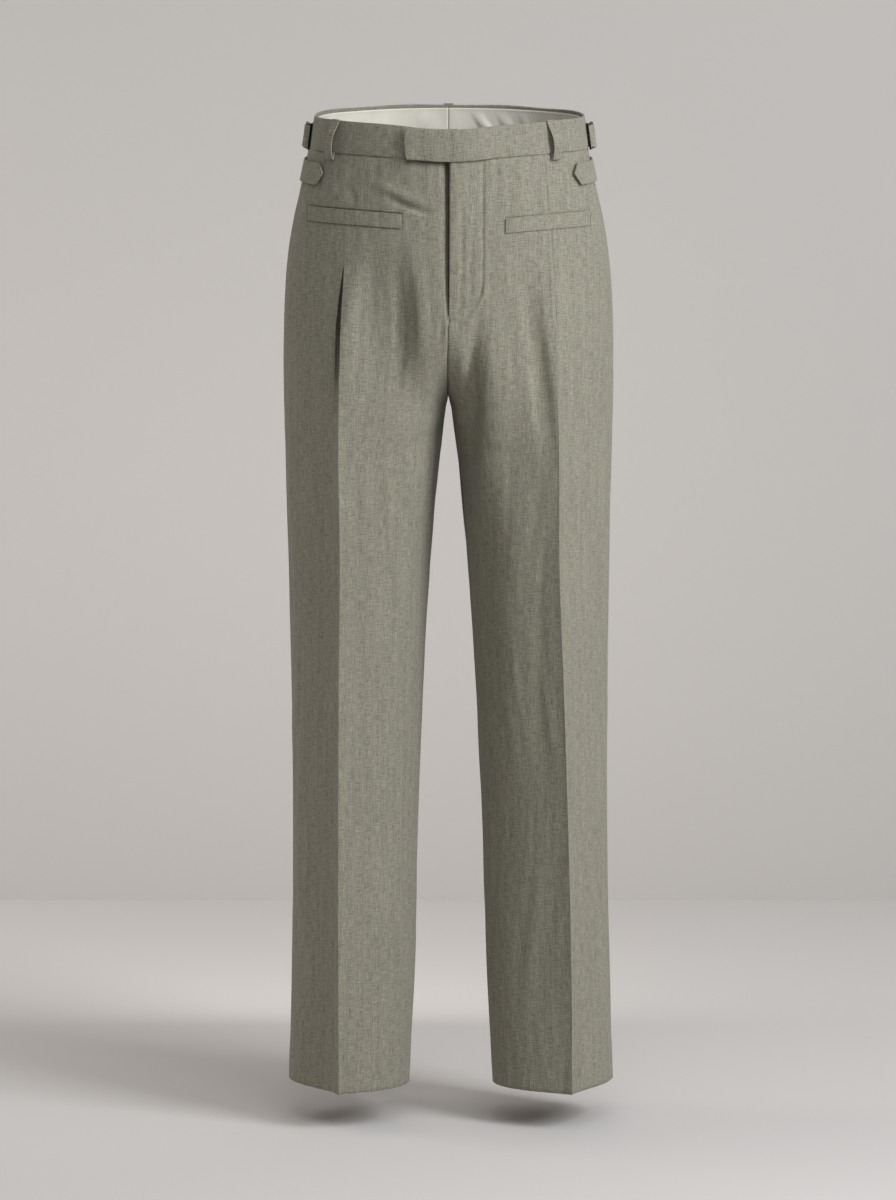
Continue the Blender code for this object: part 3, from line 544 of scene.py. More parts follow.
def panel_form(side, face, z):
    """A panel's outer face with all its folds, which way it faces, and lengths from its crease."""
    inner, outer = bare_form(side, face, z, INNER_SHARES, OUTER_SHARES)
    out_inner, out_outer = facing(inner, face), facing(outer, face)
    inner_run, outer_run = run_length(inner), run_length(outer)
    run = np.concatenate((inner_run - inner_run[:, -1:], outer_run[:, 1:]), axis=1)
    points = np.concatenate((inner, outer[:, 1:]), axis=1)
    out = np.concatenate((inner_facing_end(out_inner, out_outer), out_outer[:, 1:]), axis=1)
    x, height = side * points[..., 0], np.broadcast_to(z[:, None], run.shape)

    depth = fold_relief(face, x, points[..., 2]) + ripple_relief(side, face, run, height)
    # Pressing pinches the cloth along the crease, and seams draw it in a little.
    pressed, away = blend(-PINCH_STARTS, -PINCH_FULL, -height), np.abs(run)
    depth = depth + PINCH * pressed * (1 - np.exp(-away / PINCH_NEAR)) * np.exp(-away / PINCH_FAR)
    from_edge = np.minimum(run - run[:, :1], run[:, -1:] - run)
    depth = depth + SEAM_PULL * np.exp(-from_edge / SEAM_REACH)
    depth = depth + BAND_PULL * np.exp(np.minimum(height - BAND_SEAM, 0) / BAND_REACH)
    if face == FRONT:
        pleat = PLEAT[side]
        opened = np.clip((pleat.z_top - height) / (pleat.z_top - pleat.z_open), 0, 1)
        closing = 1 - blend(0, 1, (pleat.z_open - height) / (pleat.z_open - pleat.z_closed))
        softened = blend(0, 1, (pleat.z_open - height) / (pleat.z_open - pleat.z_soft))
        softness = 0.0006 + 0.0060 * softened
        width = pleat.width * opened
        slot = blend(0, PLEAT_EDGE, run) * (1 - blend(-0.5, 0.5, (run - width) / softness))
        cut_back = pleat.depth * np.minimum(1, 1.6 * opened) * closing ** 2 * slot
        beside = blend(0, PLEAT_EDGE, run) * (1 - blend(0.008, pleat.fades, run))
        depth = depth + pleat.step * opened * closing * beside
        depth = depth + sewn_relief(x, points[..., 2])
        depth = depth - BAND_PRINT * bump((height - BAND_PRINT_Z) / 0.0020) * (x > 0) * (x < 0.085)
        on_fly = blend(FLY_LIFT_ENDS - 0.02, FLY_LIFT_ENDS + 0.03, height)
        on_fly = on_fly * np.clip(1 + 0.6 * (height + 0.02) / 0.18, 0, 1)
        if side == LEFT:
            depth = depth - FLY_LIFT * (1 - blend(0.004, FLY_WIDTH, x)) * on_fly
            points[..., 0] += FLY_LAP * (1 - blend(0, 0.016, x)) * on_fly
            # The stitches draw a trough into the cloth, which stands up a little outside them.
            stitched, away = (height > -0.199) & (height < BAND_SEAM), from_fly_stitch(x, height)
            depth = depth + STITCH_TROUGH * bump(away / 0.0024) * stitched
            depth = depth - STITCH_RIDGE * bump((away - 0.0028) / 0.0026) * stitched
        else:
            depth = depth + (FLY_DIP * bump(x / 0.0110) + FLY_GAP * blend(-0.0042, -0.0014, x)) * on_fly
            # It is pressed in under the tab as well, so the tab's lower edge stands clear of it.
            depth = depth + UNDER_TAB_PRESS * pressed_under_tab(x, height)
        points[..., 1] += cut_back
    return points - depth[..., None] * out, out, run


def lay_cloth(name, points, flat, turned_over):
    """A primitive grid with its points laid in place. flat is where each of them is on the flat cloth."""
    rows, columns = points.shape[:2]
    bpy.ops.object.select_all(action="DESELECT")
    bpy.ops.mesh.primitive_grid_add(x_subdivisions=columns - 1, y_subdivisions=rows - 1, size=1)
    piece = bpy.context.object
    piece.name = piece.data.name = name
    if turned_over:
        points, flat = points[:, ::-1], flat[:, ::-1]
    # The grid's own points run along X and then up, and the rows here run down.
    points, flat = points[::-1].reshape(-1, 3), flat[::-1].reshape(-1, 2)
    piece.data.vertices.foreach_set("co", points.ravel())
    corner = np.empty(len(piece.data.loops), dtype=int)
    piece.data.loops.foreach_get("vertex_index", corner)
    piece.data.uv_layers.active.name = "grain"
    piece.data.uv_layers.active.data.foreach_set("uv", flat[corner].ravel())
    piece.data.update()
    bpy.ops.object.shade_smooth()
    return piece


def add_modifier(piece, kind, **settings):
    """A modifier with its settings, applied at once."""
    bpy.context.view_layer.objects.active = piece
    bpy.ops.object.modifier_add(type=kind)
    for name, value in settings.items():
        setattr(piece.modifiers[-1], name, value)
    bpy.ops.object.modifier_apply(modifier=piece.modifiers[-1].name)


def give_wall(piece, thickness, outwards=False, rounding=0.0):
    """The cloth's thickness and, where rounding is given, its folded edges rounded over."""
    add_modifier(piece, "SOLIDIFY", thickness=thickness, offset=1 if outwards else -1)
    if rounding:
        add_modifier(piece, "BEVEL", width=rounding, segments=3, limit_method="ANGLE",
                     angle_limit=math.radians(50))
        bpy.ops.object.shade_smooth()


def drawn_out(tree, grain, across, down, detail):
    """Noise drawn out along the yarns: across and down are its spacings on the flat cloth, in metres."""
    stretched = add_node(tree, "ShaderNodeMapping", {"Vector": grain, "Scale": (1 / across, 1 / down, 1)})
    return add_node(tree, "ShaderNodeTexNoise", {"Vector": stretched.outputs["Vector"], "Scale": 1.0,
                    "Detail": detail, "Roughness": 0.6}, noise_dimensions="2D").outputs["Fac"]


# A dry plain weave of wool with some linen: matt, with a faint fuzz that lifts its edges. Uneven
# yarns run up and across it as slubs, with pale neps here and there. Yarns are 0.4 mm apart, too
# fine to show, so the slubs are drawn two to three times as coarse.
suiting, tree, shader = new_finish("slubbed_wool_suiting")
grain = add_node(tree, "ShaderNodeUVMap", uv_map="grain").outputs["UV"]
warp = drawn_out(tree, grain, 0.0011, 0.013, 2.0)
weft = drawn_out(tree, grain, 0.011, 0.0011, 2.0)
heather = drawn_out(tree, grain, 0.0012, 0.0012, 2.0)
streak = drawn_out(tree, grain, 0.0055, 0.110, 2.0)
yarns = add_node(tree, "ShaderNodeMath", {0: warp, 1: weft}, operation="ADD").outputs[0]
yarns = add_node(tree, "ShaderNodeMath", {0: yarns, 1: heather}, operation="ADD").outputs[0]
yarns = add_node(tree, "ShaderNodeMath", {0: streak, 1: 0.4, 2: yarns}, operation="MULTIPLY_ADD").outputs[0]
tone = add_node(tree, "ShaderNodeMapRange", {"Value": yarns, "From Min": 1.25, "From Max": 2.15})
heathered = add_node(tree, "ShaderNodeValToRGB", {"Fac": tone.outputs["Result"]}, ("6a6659", "9c9888"))
nep = drawn_out(tree, grain, 0.0013, 0.0016, 0.0)
nep = add_node(tree, "ShaderNodeMapRange", {"Value": nep, "From Min": 0.83, "From Max": 0.92})
flecked = add_node(tree, "ShaderNodeMix", {
    "Factor": nep.outputs["Result"], "A": heathered.outputs["Color"], "B": paint("b5b1a2"),
}, data_type="RGBA")
weave = add_node(tree, "ShaderNodeBump", {"Height": yarns, "Strength": 0.22, "Distance": 0.0002})
set_inputs(shader, {
    "Base Color": flecked.outputs["Result"], "Normal": weave.outputs["Normal"], "Roughness": 0.92,
    "Specular IOR Level": 0.25, "Sheen Weight": 0.10, "Sheen Roughness": 0.5})


def finish_piece(piece, node, material, replaces=True):
    """What every piece has: its material and the body it rides on. Where it replaces a solid of the model,
    that solid is hidden.
    """
    piece.data.materials.clear()
    piece.data.materials.append(material)
    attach(piece, "root")
    if replaces:
        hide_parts(node)


PANEL_CUT = dict(zip((FRONT, BACK), table(
    "width length area", (0.300, 1.110, 0.300), (0.330, 1.110, 0.320),
)))
panels = {}
for side in (LEFT, RIGHT):
    for face in (FRONT, BACK):
        node = FACE_NAME[face] + "_" + SIDE_NAME[side]
        points, out, run = panel_form(side, face, PANEL_ROWS)
        # The hem is turned up inside, so the lowest rows come back a cloth's thickness further in.
        up = np.flatnonzero(PANEL_ROWS < HEM + HEM_TURNING)[::-1][1:]
        fold = points[-1:] - HEM_FOLD_IN * out[-1:] - np.array((0, 0, HEM_FOLD_DOWN))
        rows = np.concatenate((points, fold, points[up] - HEM_INSIDE * out[up]))
        down = np.concatenate((
            -PANEL_ROWS, [HEM_FOLD_LENGTH - HEM], 2 * HEM_FOLD_LENGTH + PANEL_ROWS[up] - 2 * HEM))
        across = np.concatenate((run, run[-1:], run[up]))
        flat = np.stack(np.broadcast_arrays(across, down[:, None]), axis=-1)
        # Each edge stops half of the seam's gap short of the next panel.
        on_rise = np.arange(len(rows)) < np.count_nonzero(PANEL_ROWS >= CROTCH_ROW)
        below_fly = on_rise & (rows[:, 0, 2] < FLY_END)
        rows[on_rise, 0, 0] = np.maximum(rows[on_rise, 0, 0], SEAM_GAP / 2)
        # Below the fly the seam lies a little to the right, so that nothing shows through it.
        rows[below_fly, 0, 0] = SEAM_GAP / 2 - side * SEAM_ASIDE * (face == FRONT)
        rows[~on_rise, 0, 1] += face * (SEAM_GAP / 2 + 0.0004)
        rows[:, -1, 1] += face * (SEAM_GAP / 2 + 0.0003)
        rows[..., 0] *= side
        # Each panel is cut from its own stretch of the cloth.
        flat = flat * np.array((side, 1)) + 1.7 * len(panels)
        panel = lay_cloth(node + "_panel", rows, flat, side * face == 1)
        give_wall(panel, CLOTH)
        finish_piece(panel, node, suiting)
        panels[side, face] = panel

# ==== Fly underlap ====
# The strip of suiting behind the fly's edge, sewn to the right front, with its top end behind the
# waistband. It stays in shadow.
UNDERLAP_RIGHT, UNDERLAP_LEFT, UNDERLAP_TOP, UNDERLAP_BOTTOM = -0.018, 0.034, -0.0110, -0.192
UNDERLAP_BEHIND = 0.0114
ROUND_ENDS = -0.100                  # below this height a strip keeps the round that it has there


def round_waist(side, turns, z):
    """Points of the form at turns round one half of it, one row for each height. 0 is the middle of
    the front, 1 its crease, 2 the side seam, 3 the back's crease and 4 the middle of the back."""
    turns = np.broadcast_to(turns, (len(z), np.shape(turns)[-1]))
    points = np.empty(turns.shape + (3,))
    for face, across in ((BACK, 4 - turns), (FRONT, turns)):
        inner, outer = bare_form(side, face, z, np.clip(across, 0, 1), np.clip(across - 1, 0, 1))
        here = across <= 2
        points[here] = np.where((across <= 1)[..., None], inner, outer)[here]
    return points


def on_waist(side, turn, z, out=0.0):
    """Points that stand out of the form by a distance, one for each turn and height given."""
    turn, z, out = np.broadcast_arrays(turn, z, out)
    level = np.clip(z.ravel(), ROUND_ENDS, BAND_TOP)
    here, ahead, behind = (
        round_waist(side, np.clip(turn.reshape(-1, 1) + step, 0, 4), level)[:, 0]
        for step in (0, 0.02, -0.02)
    )
    along = ahead - behind
    away = np.stack((along[:, 1], -along[:, 0]), axis=-1)
    rise = waist_rise(np.where(turn.ravel() <= 2, FRONT, BACK), here[:, 0], z.ravel())
    points = here[:, :2] + out.reshape(-1, 1) * away / np.linalg.norm(away, axis=-1, keepdims=True)
    points = np.stack((side * points[:, 0], points[:, 1], z.ravel() + rise), axis=-1)
    return points.reshape(turn.shape + (3,))


def turn_where(side, axis, value, z, low, high):
    """The turn, between two others, at which the form comes to a value on an axis."""
    value, z = np.broadcast_arrays(value, z)
    low, high = np.full(z.shape, float(low)), np.full(z.shape, float(high))
    for _ in range(24):
        middle = (low + high) / 2
        short = on_waist(side, middle, z)[..., axis] * (side if axis == 0 else 1) < value
        low, high = np.where(short, middle, low), np.where(short, high, middle)
    return low


def strip_lengths(points, shift):
    """Where each point of a strip is on the flat cloth. shift keeps two strips' yarns apart."""
    down = run_length(points.swapaxes(0, 1)).swapaxes(0, 1)
    return np.stack((run_length(points) + shift, -down), axis=-1)


def make_strip(node, points, flat, turned_over, wall, material=suiting,
               outwards=False, rounding=0.0):
    """A strip of cloth laid at its points, with its thickness and all that a sheet has."""
    strip = lay_cloth(node + "_strip", points, flat, turned_over)
    give_wall(strip, wall, outwards, rounding)
    finish_piece(strip, node, material)
    return strip


x = np.linspace(UNDERLAP_RIGHT, UNDERLAP_LEFT, 27)
z = np.linspace(UNDERLAP_TOP, UNDERLAP_BOTTOM, 60)[:, None]
points = np.concatenate([
    on_waist(side, turn_where(side, 0, np.abs(own), z, 0, 2), z, -UNDERLAP_BEHIND)
    for side, own in ((RIGHT, x[x < 0]), (LEFT, x[x >= 0]))
], axis=1)
make_strip("fly_underlap", points, strip_lengths(points, 0.9), False, CLOTH)

# ==== Waistband ====
# Two strips of suiting over a stiff interlining, sewn to the fronts and backs and joined behind.
# The left one goes on past the middle as a square tab that fastens over the right one.
BAND_PROUD, BAND_CLOTH = 0.0008, 0.0026
TAB_REACH, LAP_STARTS, LAP_FULL, LAP_LIFT = 0.046, 0.060, 0.018, 0.0046
UNDER_BAND_END = 0.010
TAB_END_PRESS = 0.0016               # the tab's end pushes the band under it in by this much
TAB_END_BOW, TAB_END_SLANT, TAB_END_LIFT, TAB_CORNER_LIFT = 0.0014, 0.0012, 0.0014, 0.0008
BAND_FULLNESS, BAND_WAVE, EDGE_WAVE = 0.0006, 0.0003, 0.0004
# The right adjuster is pulled tighter than the left one, and draws the band in by this much.
DRAWN_IN = {LEFT: 0.0, RIGHT: 0.0022}


def drawn_in(side, turns):
    return DRAWN_IN[side] * bump((turns - 2.1) / 0.7)


def pushed_in(own_x, z, turns):
    """How far the tab pushes the right band in, at its end and along its lower edge."""
    push = TAB_END_PRESS * bump((own_x - 0.050) / 0.018) + UNDER_TAB_PRESS * pressed_under_tab(-own_x, z)
    return push * (turns < 2)


for side in (LEFT, RIGHT):
    down, turns = np.linspace(0, 1, 17)[:, None], np.linspace(0, 4, 170)
    z = BAND_TOP + (BAND_SEAM - BAND_TOP) * down
    own_x = np.abs(on_waist(side, turns, z)[..., 0])
    if side == LEFT:
        # The tab's end isn't cut quite straight, and it stands off most at its lower corner.
        reach = TAB_REACH + TAB_END_BOW * np.sin(math.pi * down) - TAB_END_SLANT * down
        beyond = reach * np.linspace(1, 0, 30, endpoint=False)
        lift_beyond = LAP_LIFT + (TAB_END_LIFT + TAB_CORNER_LIFT * down) * blend(0.030, TAB_REACH, beyond)
        lift = LAP_LIFT * (1 - blend(LAP_FULL, LAP_STARTS, own_x)) * (turns < 2)
    else:
        beyond = UNDER_BAND_END * np.linspace(1, 0, 30, endpoint=False)
        lift_beyond = -UNDER_TAB_PRESS * pressed_under_tab(beyond, z)
        lift = -pushed_in(own_x, z, turns)
    past = on_waist(-side, turn_where(-side, 0, beyond, z, 0, 2), z, BAND_PROUD + lift_beyond)
    rest = on_waist(side, turns, z, BAND_PROUD + lift - drawn_in(side, turns))
    points = np.concatenate((past, rest), axis=1)
    # The band is a little fuller along its middle, with slow waves where the cloth was eased.
    flat = strip_lengths(points, 2.1 + side)
    puff = BAND_FULLNESS * (1 - (2 * down - 1) ** 4)
    puff = puff + BAND_WAVE * np.sin(flat[..., 0] * 95 + 1.3 * side) * (1 - down)
    points[..., :2] += puff[..., None] * facing(points, -side)[..., :2]
    points[..., 2] += EDGE_WAVE * np.sin(flat[..., 0] * 61 + side)
    points[:, -1, 0] = side * SEAM_GAP / 2
    make_strip("waistband_" + SIDE_NAME[side], points, flat, side == RIGHT, BAND_CLOTH,
               rounding=0.0009)

# ==== Waistband lining ====
# Smooth pale cotton twill sewn inside the band, a little below its edge, so that a narrow strip of
# suiting shows above it. It hangs free below the band's seam, with soft drag folds at the back.
LINING_CLOTH, LINING_TOP, LINING_BOTTOM = 0.0006, BAND_TOP - 0.0038, BAND_SEAM - 0.014
LINING_FIRST_TURN = {LEFT: 0.545, RIGHT: 0.364}
# Each drag fold falls from the lining's top edge: distances are from the seam at the back.
DRAGS = dict(zip((LEFT, RIGHT), (table("from_seam runs width depth", *drags) for drags in (
    ((0.018, 0.032, 0.011, -0.0016), (0.030, 0.036, 0.013, 0.0022), (0.044, 0.034, 0.012, -0.0020),
     (0.060, 0.030, 0.015, 0.0016), (0.074, 0.024, 0.012, -0.0012), (0.086, 0.020, 0.010, 0.0012),
     (0.100, 0.012, 0.011, -0.0012)),
    ((0.026, -0.010, 0.020, 0.0008), (0.052, -0.014, 0.022, -0.0008), (0.090, -0.012, 0.026, 0.0008)),
))))

# Cotton twill: a close cloth with a soft sheen, and ridges too fine to show but as a faint grain.
lining_twill, tree, shader = new_finish("cotton_twill_lining")
grain = add_node(tree, "ShaderNodeUVMap", uv_map="grain").outputs["UV"]
diagonal = add_node(tree, "ShaderNodeMapping", {
    "Vector": grain, "Rotation": (0, 0, math.radians(62)), "Scale": (1 / 0.0009, 1 / 0.0009, 1)})
ridges = add_node(tree, "ShaderNodeTexWave", {
    "Vector": diagonal.outputs["Vector"], "Scale": 0.5, "Distortion": 0.6, "Detail": 1.0}).outputs["Fac"]
uneven = drawn_out(tree, grain, 0.020, 0.030, 3.0)
twill = add_node(
    tree, "ShaderNodeMath", {0: ridges, 1: 0.35, 2: uneven}, operation="MULTIPLY_ADD").outputs[0]
tone = add_node(tree, "ShaderNodeMapRange", {"Value": twill, "From Min": 0.3, "From Max": 1.0})
cream = add_node(tree, "ShaderNodeValToRGB", {"Fac": tone.outputs["Result"]}, ("cec8bb", "dfd9cd"))
relief = add_node(tree, "ShaderNodeBump", {"Height": twill, "Strength": 0.15, "Distance": 0.0002})
set_inputs(shader, {
    "Base Color": cream.outputs["Color"], "Normal": relief.outputs["Normal"], "Roughness": 0.62,
    "Specular IOR Level": 0.35, "Sheen Weight": 0.15})

linings = {}
for side in (LEFT, RIGHT):
    down = np.linspace(0, 1, 26)[:, None]
    z = LINING_TOP + (LINING_BOTTOM - LINING_TOP) * down
    turns = np.linspace(LINING_FIRST_TURN[side], 4, 190)
    inside = BAND_PROUD - BAND_CLOTH - 0.0004 - drawn_in(side, turns)
    if side == RIGHT:
        # Where the tab pushes the band in, the lining goes in a little more and stays clear of it.
        own_x = np.abs(on_waist(side, turns, z)[..., 0])
        inside = inside - 1.2 * pushed_in(own_x, z, turns)
    points = on_waist(side, turns, z, inside)
    flat = strip_lengths(points, 4.3 + side)
    from_seam = flat[:, -1:, 0] - flat[..., 0]
    drop = 0.0003 * np.sin(flat[..., 0] * 140) * down
    for drag in DRAGS[side]:
        place = drag.from_seam + drag.runs * down ** 1.3
        drop = drop + drag.depth * bump((from_seam - place) / drag.width) * blend(0.02, 0.45, down)
    # The folds stand inwards only, because the band is close behind.
    drop = np.maximum(drop + 0.0004 * down, 0) + 0.0005 * np.exp(-down / 0.05)
    points[..., :2] -= drop[..., None] * facing(points, -side)[..., :2]
    points[:, -1, 0] = side * SEAM_GAP / 2
    linings[side] = make_strip(
        "waistband_lining_" + SIDE_NAME[side], points, flat, side == RIGHT, LINING_CLOTH,
        material=lining_twill)

# ==== Stitching ====
# Rows of polyester thread, each stitch a short bead of thread pulled a little way into the cloth.
# The fly's row runs down and round in a J, and pick stitches hold the lining inside the band.
THREAD = 0.00045
FAR_OFF = 0.3                        # the cloth under a row of stitches is found from this far off


def thread(name, dark, light):
    """Spun thread: round, close and a little glossier than the cloth."""
    finish, tree, shader = new_finish(name)
    place = add_node(tree, "ShaderNodeTexCoord").outputs["Object"]
    spun = add_node(tree, "ShaderNodeTexNoise", {
        "Vector": place, "Scale": 900.0, "Detail": 2.0}).outputs["Fac"]
    tone = add_node(tree, "ShaderNodeValToRGB", {"Fac": spun}, (dark, light))
    relief = add_node(tree, "ShaderNodeBump", {"Height": spun, "Strength": 0.3, "Distance": 0.0001})
    set_inputs(shader, {
        "Base Color": tone.outputs["Color"], "Normal": relief.outputs["Normal"], "Roughness": 0.55})
    return finish


suiting_thread = thread("grey_green_thread", "6a675a", "8f8c7e")
dark_thread = thread("dark_bar_tack_thread", "33312a", "4c493f")
pale_thread = thread("cream_thread", "a09a8c", "bdb7a9")


def stitches(name, node, material, cloth, starts, ends, aim, width=THREAD):
    """One bead from each start to its end, laid on the cloth that is found from there along aim."""
    bpy.ops.object.select_all(action="DESELECT")
    bpy.ops.mesh.primitive_uv_sphere_add(segments=8, ring_count=5, radius=0.5)
    bead = bpy.context.object
    beads = [bead]
    for start, end in zip(starts, ends):
        found = [cloth.ray_cast(Vector(point), Vector(aim)) for point in (start, end)]
        if not all(hit for hit, *_ in found):
            continue
        (_, first, out, _), (_, last, _, _) = found
        run = last - first
        turned = Matrix((out.cross(run).normalized(), run.normalized(), out)).transposed().to_4x4()
        copy = bead.copy()
        copy.data = bead.data.copy()
        size = Matrix.Diagonal((width, run.length, width * 0.8, 1))
        copy.data.transform(Matrix.Translation((first + last) / 2 + 0.15 * width * out) @ turned @ size)
        bpy.context.collection.objects.link(copy)
        copy.select_set(True)
        beads.append(copy)
    bead.select_set(False)
    bpy.context.view_layer.objects.active = beads[-1]
    bpy.ops.object.join()
    row = bpy.context.object
    row.name = row.data.name = name
    bpy.data.objects.remove(bead)
    bpy.ops.object.shade_smooth()
    finish_piece(row, node, material, replaces=False)


def stitch_line(line, pitch, share=0.62):
    """Starts and ends of stitches along a line of points. Each takes up a share of the pitch."""
    line = np.asarray(line, dtype=float)
    lengths = np.concatenate(([0], np.cumsum(np.linalg.norm(np.diff(line, axis=0), axis=1))))
    at = np.arange(pitch / 2, lengths[-1] - pitch / 2, pitch)
    starts, ends = (
        np.stack([np.interp(at + step, lengths, line[:, k]) for k in range(3)], axis=-1)
        for step in (-pitch * share / 2, pitch * share / 2)
    )
    return starts, ends


# The J runs from the band's seam to the bottom of the fly's edge.
z = -np.concatenate((np.linspace(0.0205, 0.140, 60), np.linspace(0.141, 0.198, 80)))
line = np.stack((fly_stitch_x(z), np.full(len(z), -FAR_OFF), z), axis=-1)
starts, ends = stitch_line(line[line[:, 0] > 0.002], 0.0026)
stitches("fly_stitching", "front_left", suiting_thread, panels[LEFT, FRONT], starts, ends, (0, 1, 0))
# A bar tack closes the fly's lower end: close stitches across the edge.
z = np.arange(-0.1925, -0.1985, -0.0005)
stitches("fly_bar_tack", "front_left", suiting_thread, panels[LEFT, FRONT],
         [(0.0006, -FAR_OFF, own) for own in z], [(0.0034, -FAR_OFF, own) for own in z], (0, 1, 0))
for side in (LEFT, RIGHT):
    # Pick stitches, seen from inside, so the cloth is found from the middle of the waist outwards.
    turns = np.linspace(LINING_FIRST_TURN[side] + 0.03, 3.97, 200)
    line = on_waist(side, turns, np.array(LINING_TOP - 0.0024), -0.012)
    starts, ends = stitch_line(line, 0.0042, 0.34)
    at_back, at_front = starts[:, 1] > 0.05, starts[:, 1] <= -0.03
    ways = ((at_back, (0, 1, 0)), (~at_back & ~at_front, (side, 0, 0)), (at_front, (0, -1, 0)))
    for count, (own, aim) in enumerate(ways):
        stitches(
            "lining_pick_stitches_%s_%d" % (SIDE_NAME[side], count), "waistband_lining_" + SIDE_NAME[side],
            pale_thread, linings[side], starts[own], ends[own], aim, 0.0005)

# ==== Pocket welts ====
# A folded strip of suiting at each pocket's mouth: its fold is the top edge and stands a little
# open, its lower edge is seamed in, and its ends are stitched down.
WELT_CLOTH = 0.0011
MOUTH_DEPTH, SEAM_DEPTH, END_DEPTH = 0.0015, 0.0006, 0.0030
WELT = dict(zip((LEFT, RIGHT), table(
    "inner outer top height rise",
    (0.063, 0.157, -0.0835, 0.0158, 0.0010),
    (0.052, 0.156, -0.0782, 0.0156, 0.0010),
)))
WELT_BOW = 0.0012                    # the fold bows up by this much between its ends


def on_front(side, x, z, out):
    """Points that stand out of a front, found at each x and z from before it."""
    front = panels[side, FRONT]
    points = np.empty(np.shape(x) + (3,))
    for at in np.ndindex(np.shape(x)):
        _, place, away, _ = front.ray_cast(Vector((x[at], -FAR_OFF, z[at])), Vector((0, 1, 0)))
        points[at] = place + float(out[at]) * away
    return points


for side in (LEFT, RIGHT):
    welt = WELT[side]
    along, down = np.linspace(0, 1, 90), np.linspace(0, 1, 15)[:, None]
    x = side * (welt.inner + (welt.outer - welt.inner) * along)
    z = welt.top + welt.rise * along + WELT_BOW * np.sin(math.pi * along) - welt.height * down
    x, z, along, down = np.broadcast_arrays(x, z, along, down)
    # It is flat at its seam and its ends, fuller between, and open at the fold.
    ends = blend(0, 0.04, along) * blend(0, 0.04, 1 - along)
    out = WELT_CLOTH + 0.0003 + 0.0004 * ends * np.sin(math.pi * down) + 0.0010 * ends * (1 - down) ** 3
    points = on_front(side, x, z, out)
    name = "pocket_welt_" + SIDE_NAME[side]
    piece = make_strip(
        name, points, strip_lengths(points, 6.1 + side), side == RIGHT, WELT_CLOTH,
        rounding=0.00035)
    for end, own in (("inner", welt.inner), ("outer", welt.outer)):
        z = welt.top + welt.rise * (own == welt.outer) - np.linspace(0.0012, welt.height - 0.001, 12)
        own = own + (0.0020 if end == "inner" else -0.0020)
        starts, ends = stitch_line([(side * own, -FAR_OFF, height) for height in z], 0.0022)
        stitches("%s_%s_stitches" % (name, end), name, suiting_thread, piece, starts, ends, (0, 1, 0),
                 0.0004)
    # The mouth is open above the fold, and the front is sunk along the seam and round the ends.
    front = panels[side, FRONT].data
    spots = np.empty(3 * len(front.vertices))
    front.vertices.foreach_get("co", spots)
    spots = spots.reshape(-1, 3)
    own_x = side * spots[:, 0]
    share = np.clip((own_x - welt.inner) / (welt.outer - welt.inner), 0, 1)
    fold_z = welt.top + welt.rise * share + WELT_BOW * np.sin(math.pi * share)
    beyond = np.stack((spots[:, 2] - fold_z, fold_z - welt.height - spots[:, 2], welt.inner - own_x,
                       own_x - welt.outer))
    sunk = np.array((MOUTH_DEPTH, SEAM_DEPTH, SEAM_DEPTH, END_DEPTH))[beyond.argmax(axis=0)]
    spots[:, 1] += sunk * bump((beyond.max(axis=0) - 0.0006) / 0.0011)
    front.vertices.foreach_set("co", spots.ravel())
    front.update()

# ==== Belt loops ====
# Three strips folded to 11 mm and pressed. Each is sewn over the band's top edge, stands off the
# band far enough for a belt, and is turned under and sewn below the band's seam.
LOOP_CLOTH, LOOP_WIDTH = 0.0015, 0.011
LOOP_PROFILE = table(
    "z out",
    (0.0198, 0.0003), (0.0165, 0.0007), (0.0110, 0.0028), (0.0040, 0.0060), (-0.0035, 0.0069),
    (-0.0110, 0.0064), (-0.0175, 0.0047), (-0.0222, 0.0031), (-0.0232, 0.0027), (-0.0226, 0.0023),
    (-0.0165, 0.0022),
)
LOOP_AT = {"front_left": (LEFT, 0.1135), "front_right": (RIGHT, 0.125), "back": (LEFT, 0.0)}
LOOP_LEAN = 0.0030                   # the front ones lean outwards by this much, going down


def smooth_line(points, count):
    """A line through the given points, even and without corners."""
    points = np.array(points, dtype=float)
    steps = np.concatenate(([0], np.cumsum(np.linalg.norm(np.diff(points, axis=0), axis=1))))
    return through(steps, points, np.linspace(0, steps[-1], count))


for place, (side, x) in LOOP_AT.items():
    level = np.array(0.0)
    turn = np.array(4.0) if place == "back" else turn_where(side, 0, x, level, 0, 2)
    away = on_waist(side, turn, level, 1.0) - on_waist(side, turn, level)
    along = np.array((-away[1], away[0], 0.0))
    profile = smooth_line(LOOP_PROFILE, 64)
    middle = on_waist(side, turn, profile[:, 0]) + (BAND_PROUD + profile[:, 1:]) * away
    if place != "back":
        middle += side * LOOP_LEAN * blend(0.020, -0.014, profile[:, :1]) * along
    across = np.linspace(-0.5, 0.5, 11)
    # Pressed edges, with the seam's bulk down the middle behind.
    crown = 0.0004 * (1 - (2 * across) ** 2)
    points = middle[:, None] + (across * LOOP_WIDTH)[:, None] * along + crown[:, None] * away
    name = "belt_loop_" + place
    loop = make_strip(name, points, strip_lengths(points, 8.3 + x), False, LOOP_CLOTH,
                      outwards=True, rounding=0.0005)
    if place == "back":
        # A bar tack holds its top end, and shows over the band's edge.
        rows = np.linspace(-0.0052, 0.0052, 22)[:, None]
        starts = on_waist(side, turn, np.array(0.0182), 0.03) + rows * along
        stops = starts + 0.0003 * along
        stitches("belt_loop_back_tack", name, dark_thread, loop, starts + (0, 0, 0.0010),
                 stops - (0, 0, 0.0008), -away, 0.00045)

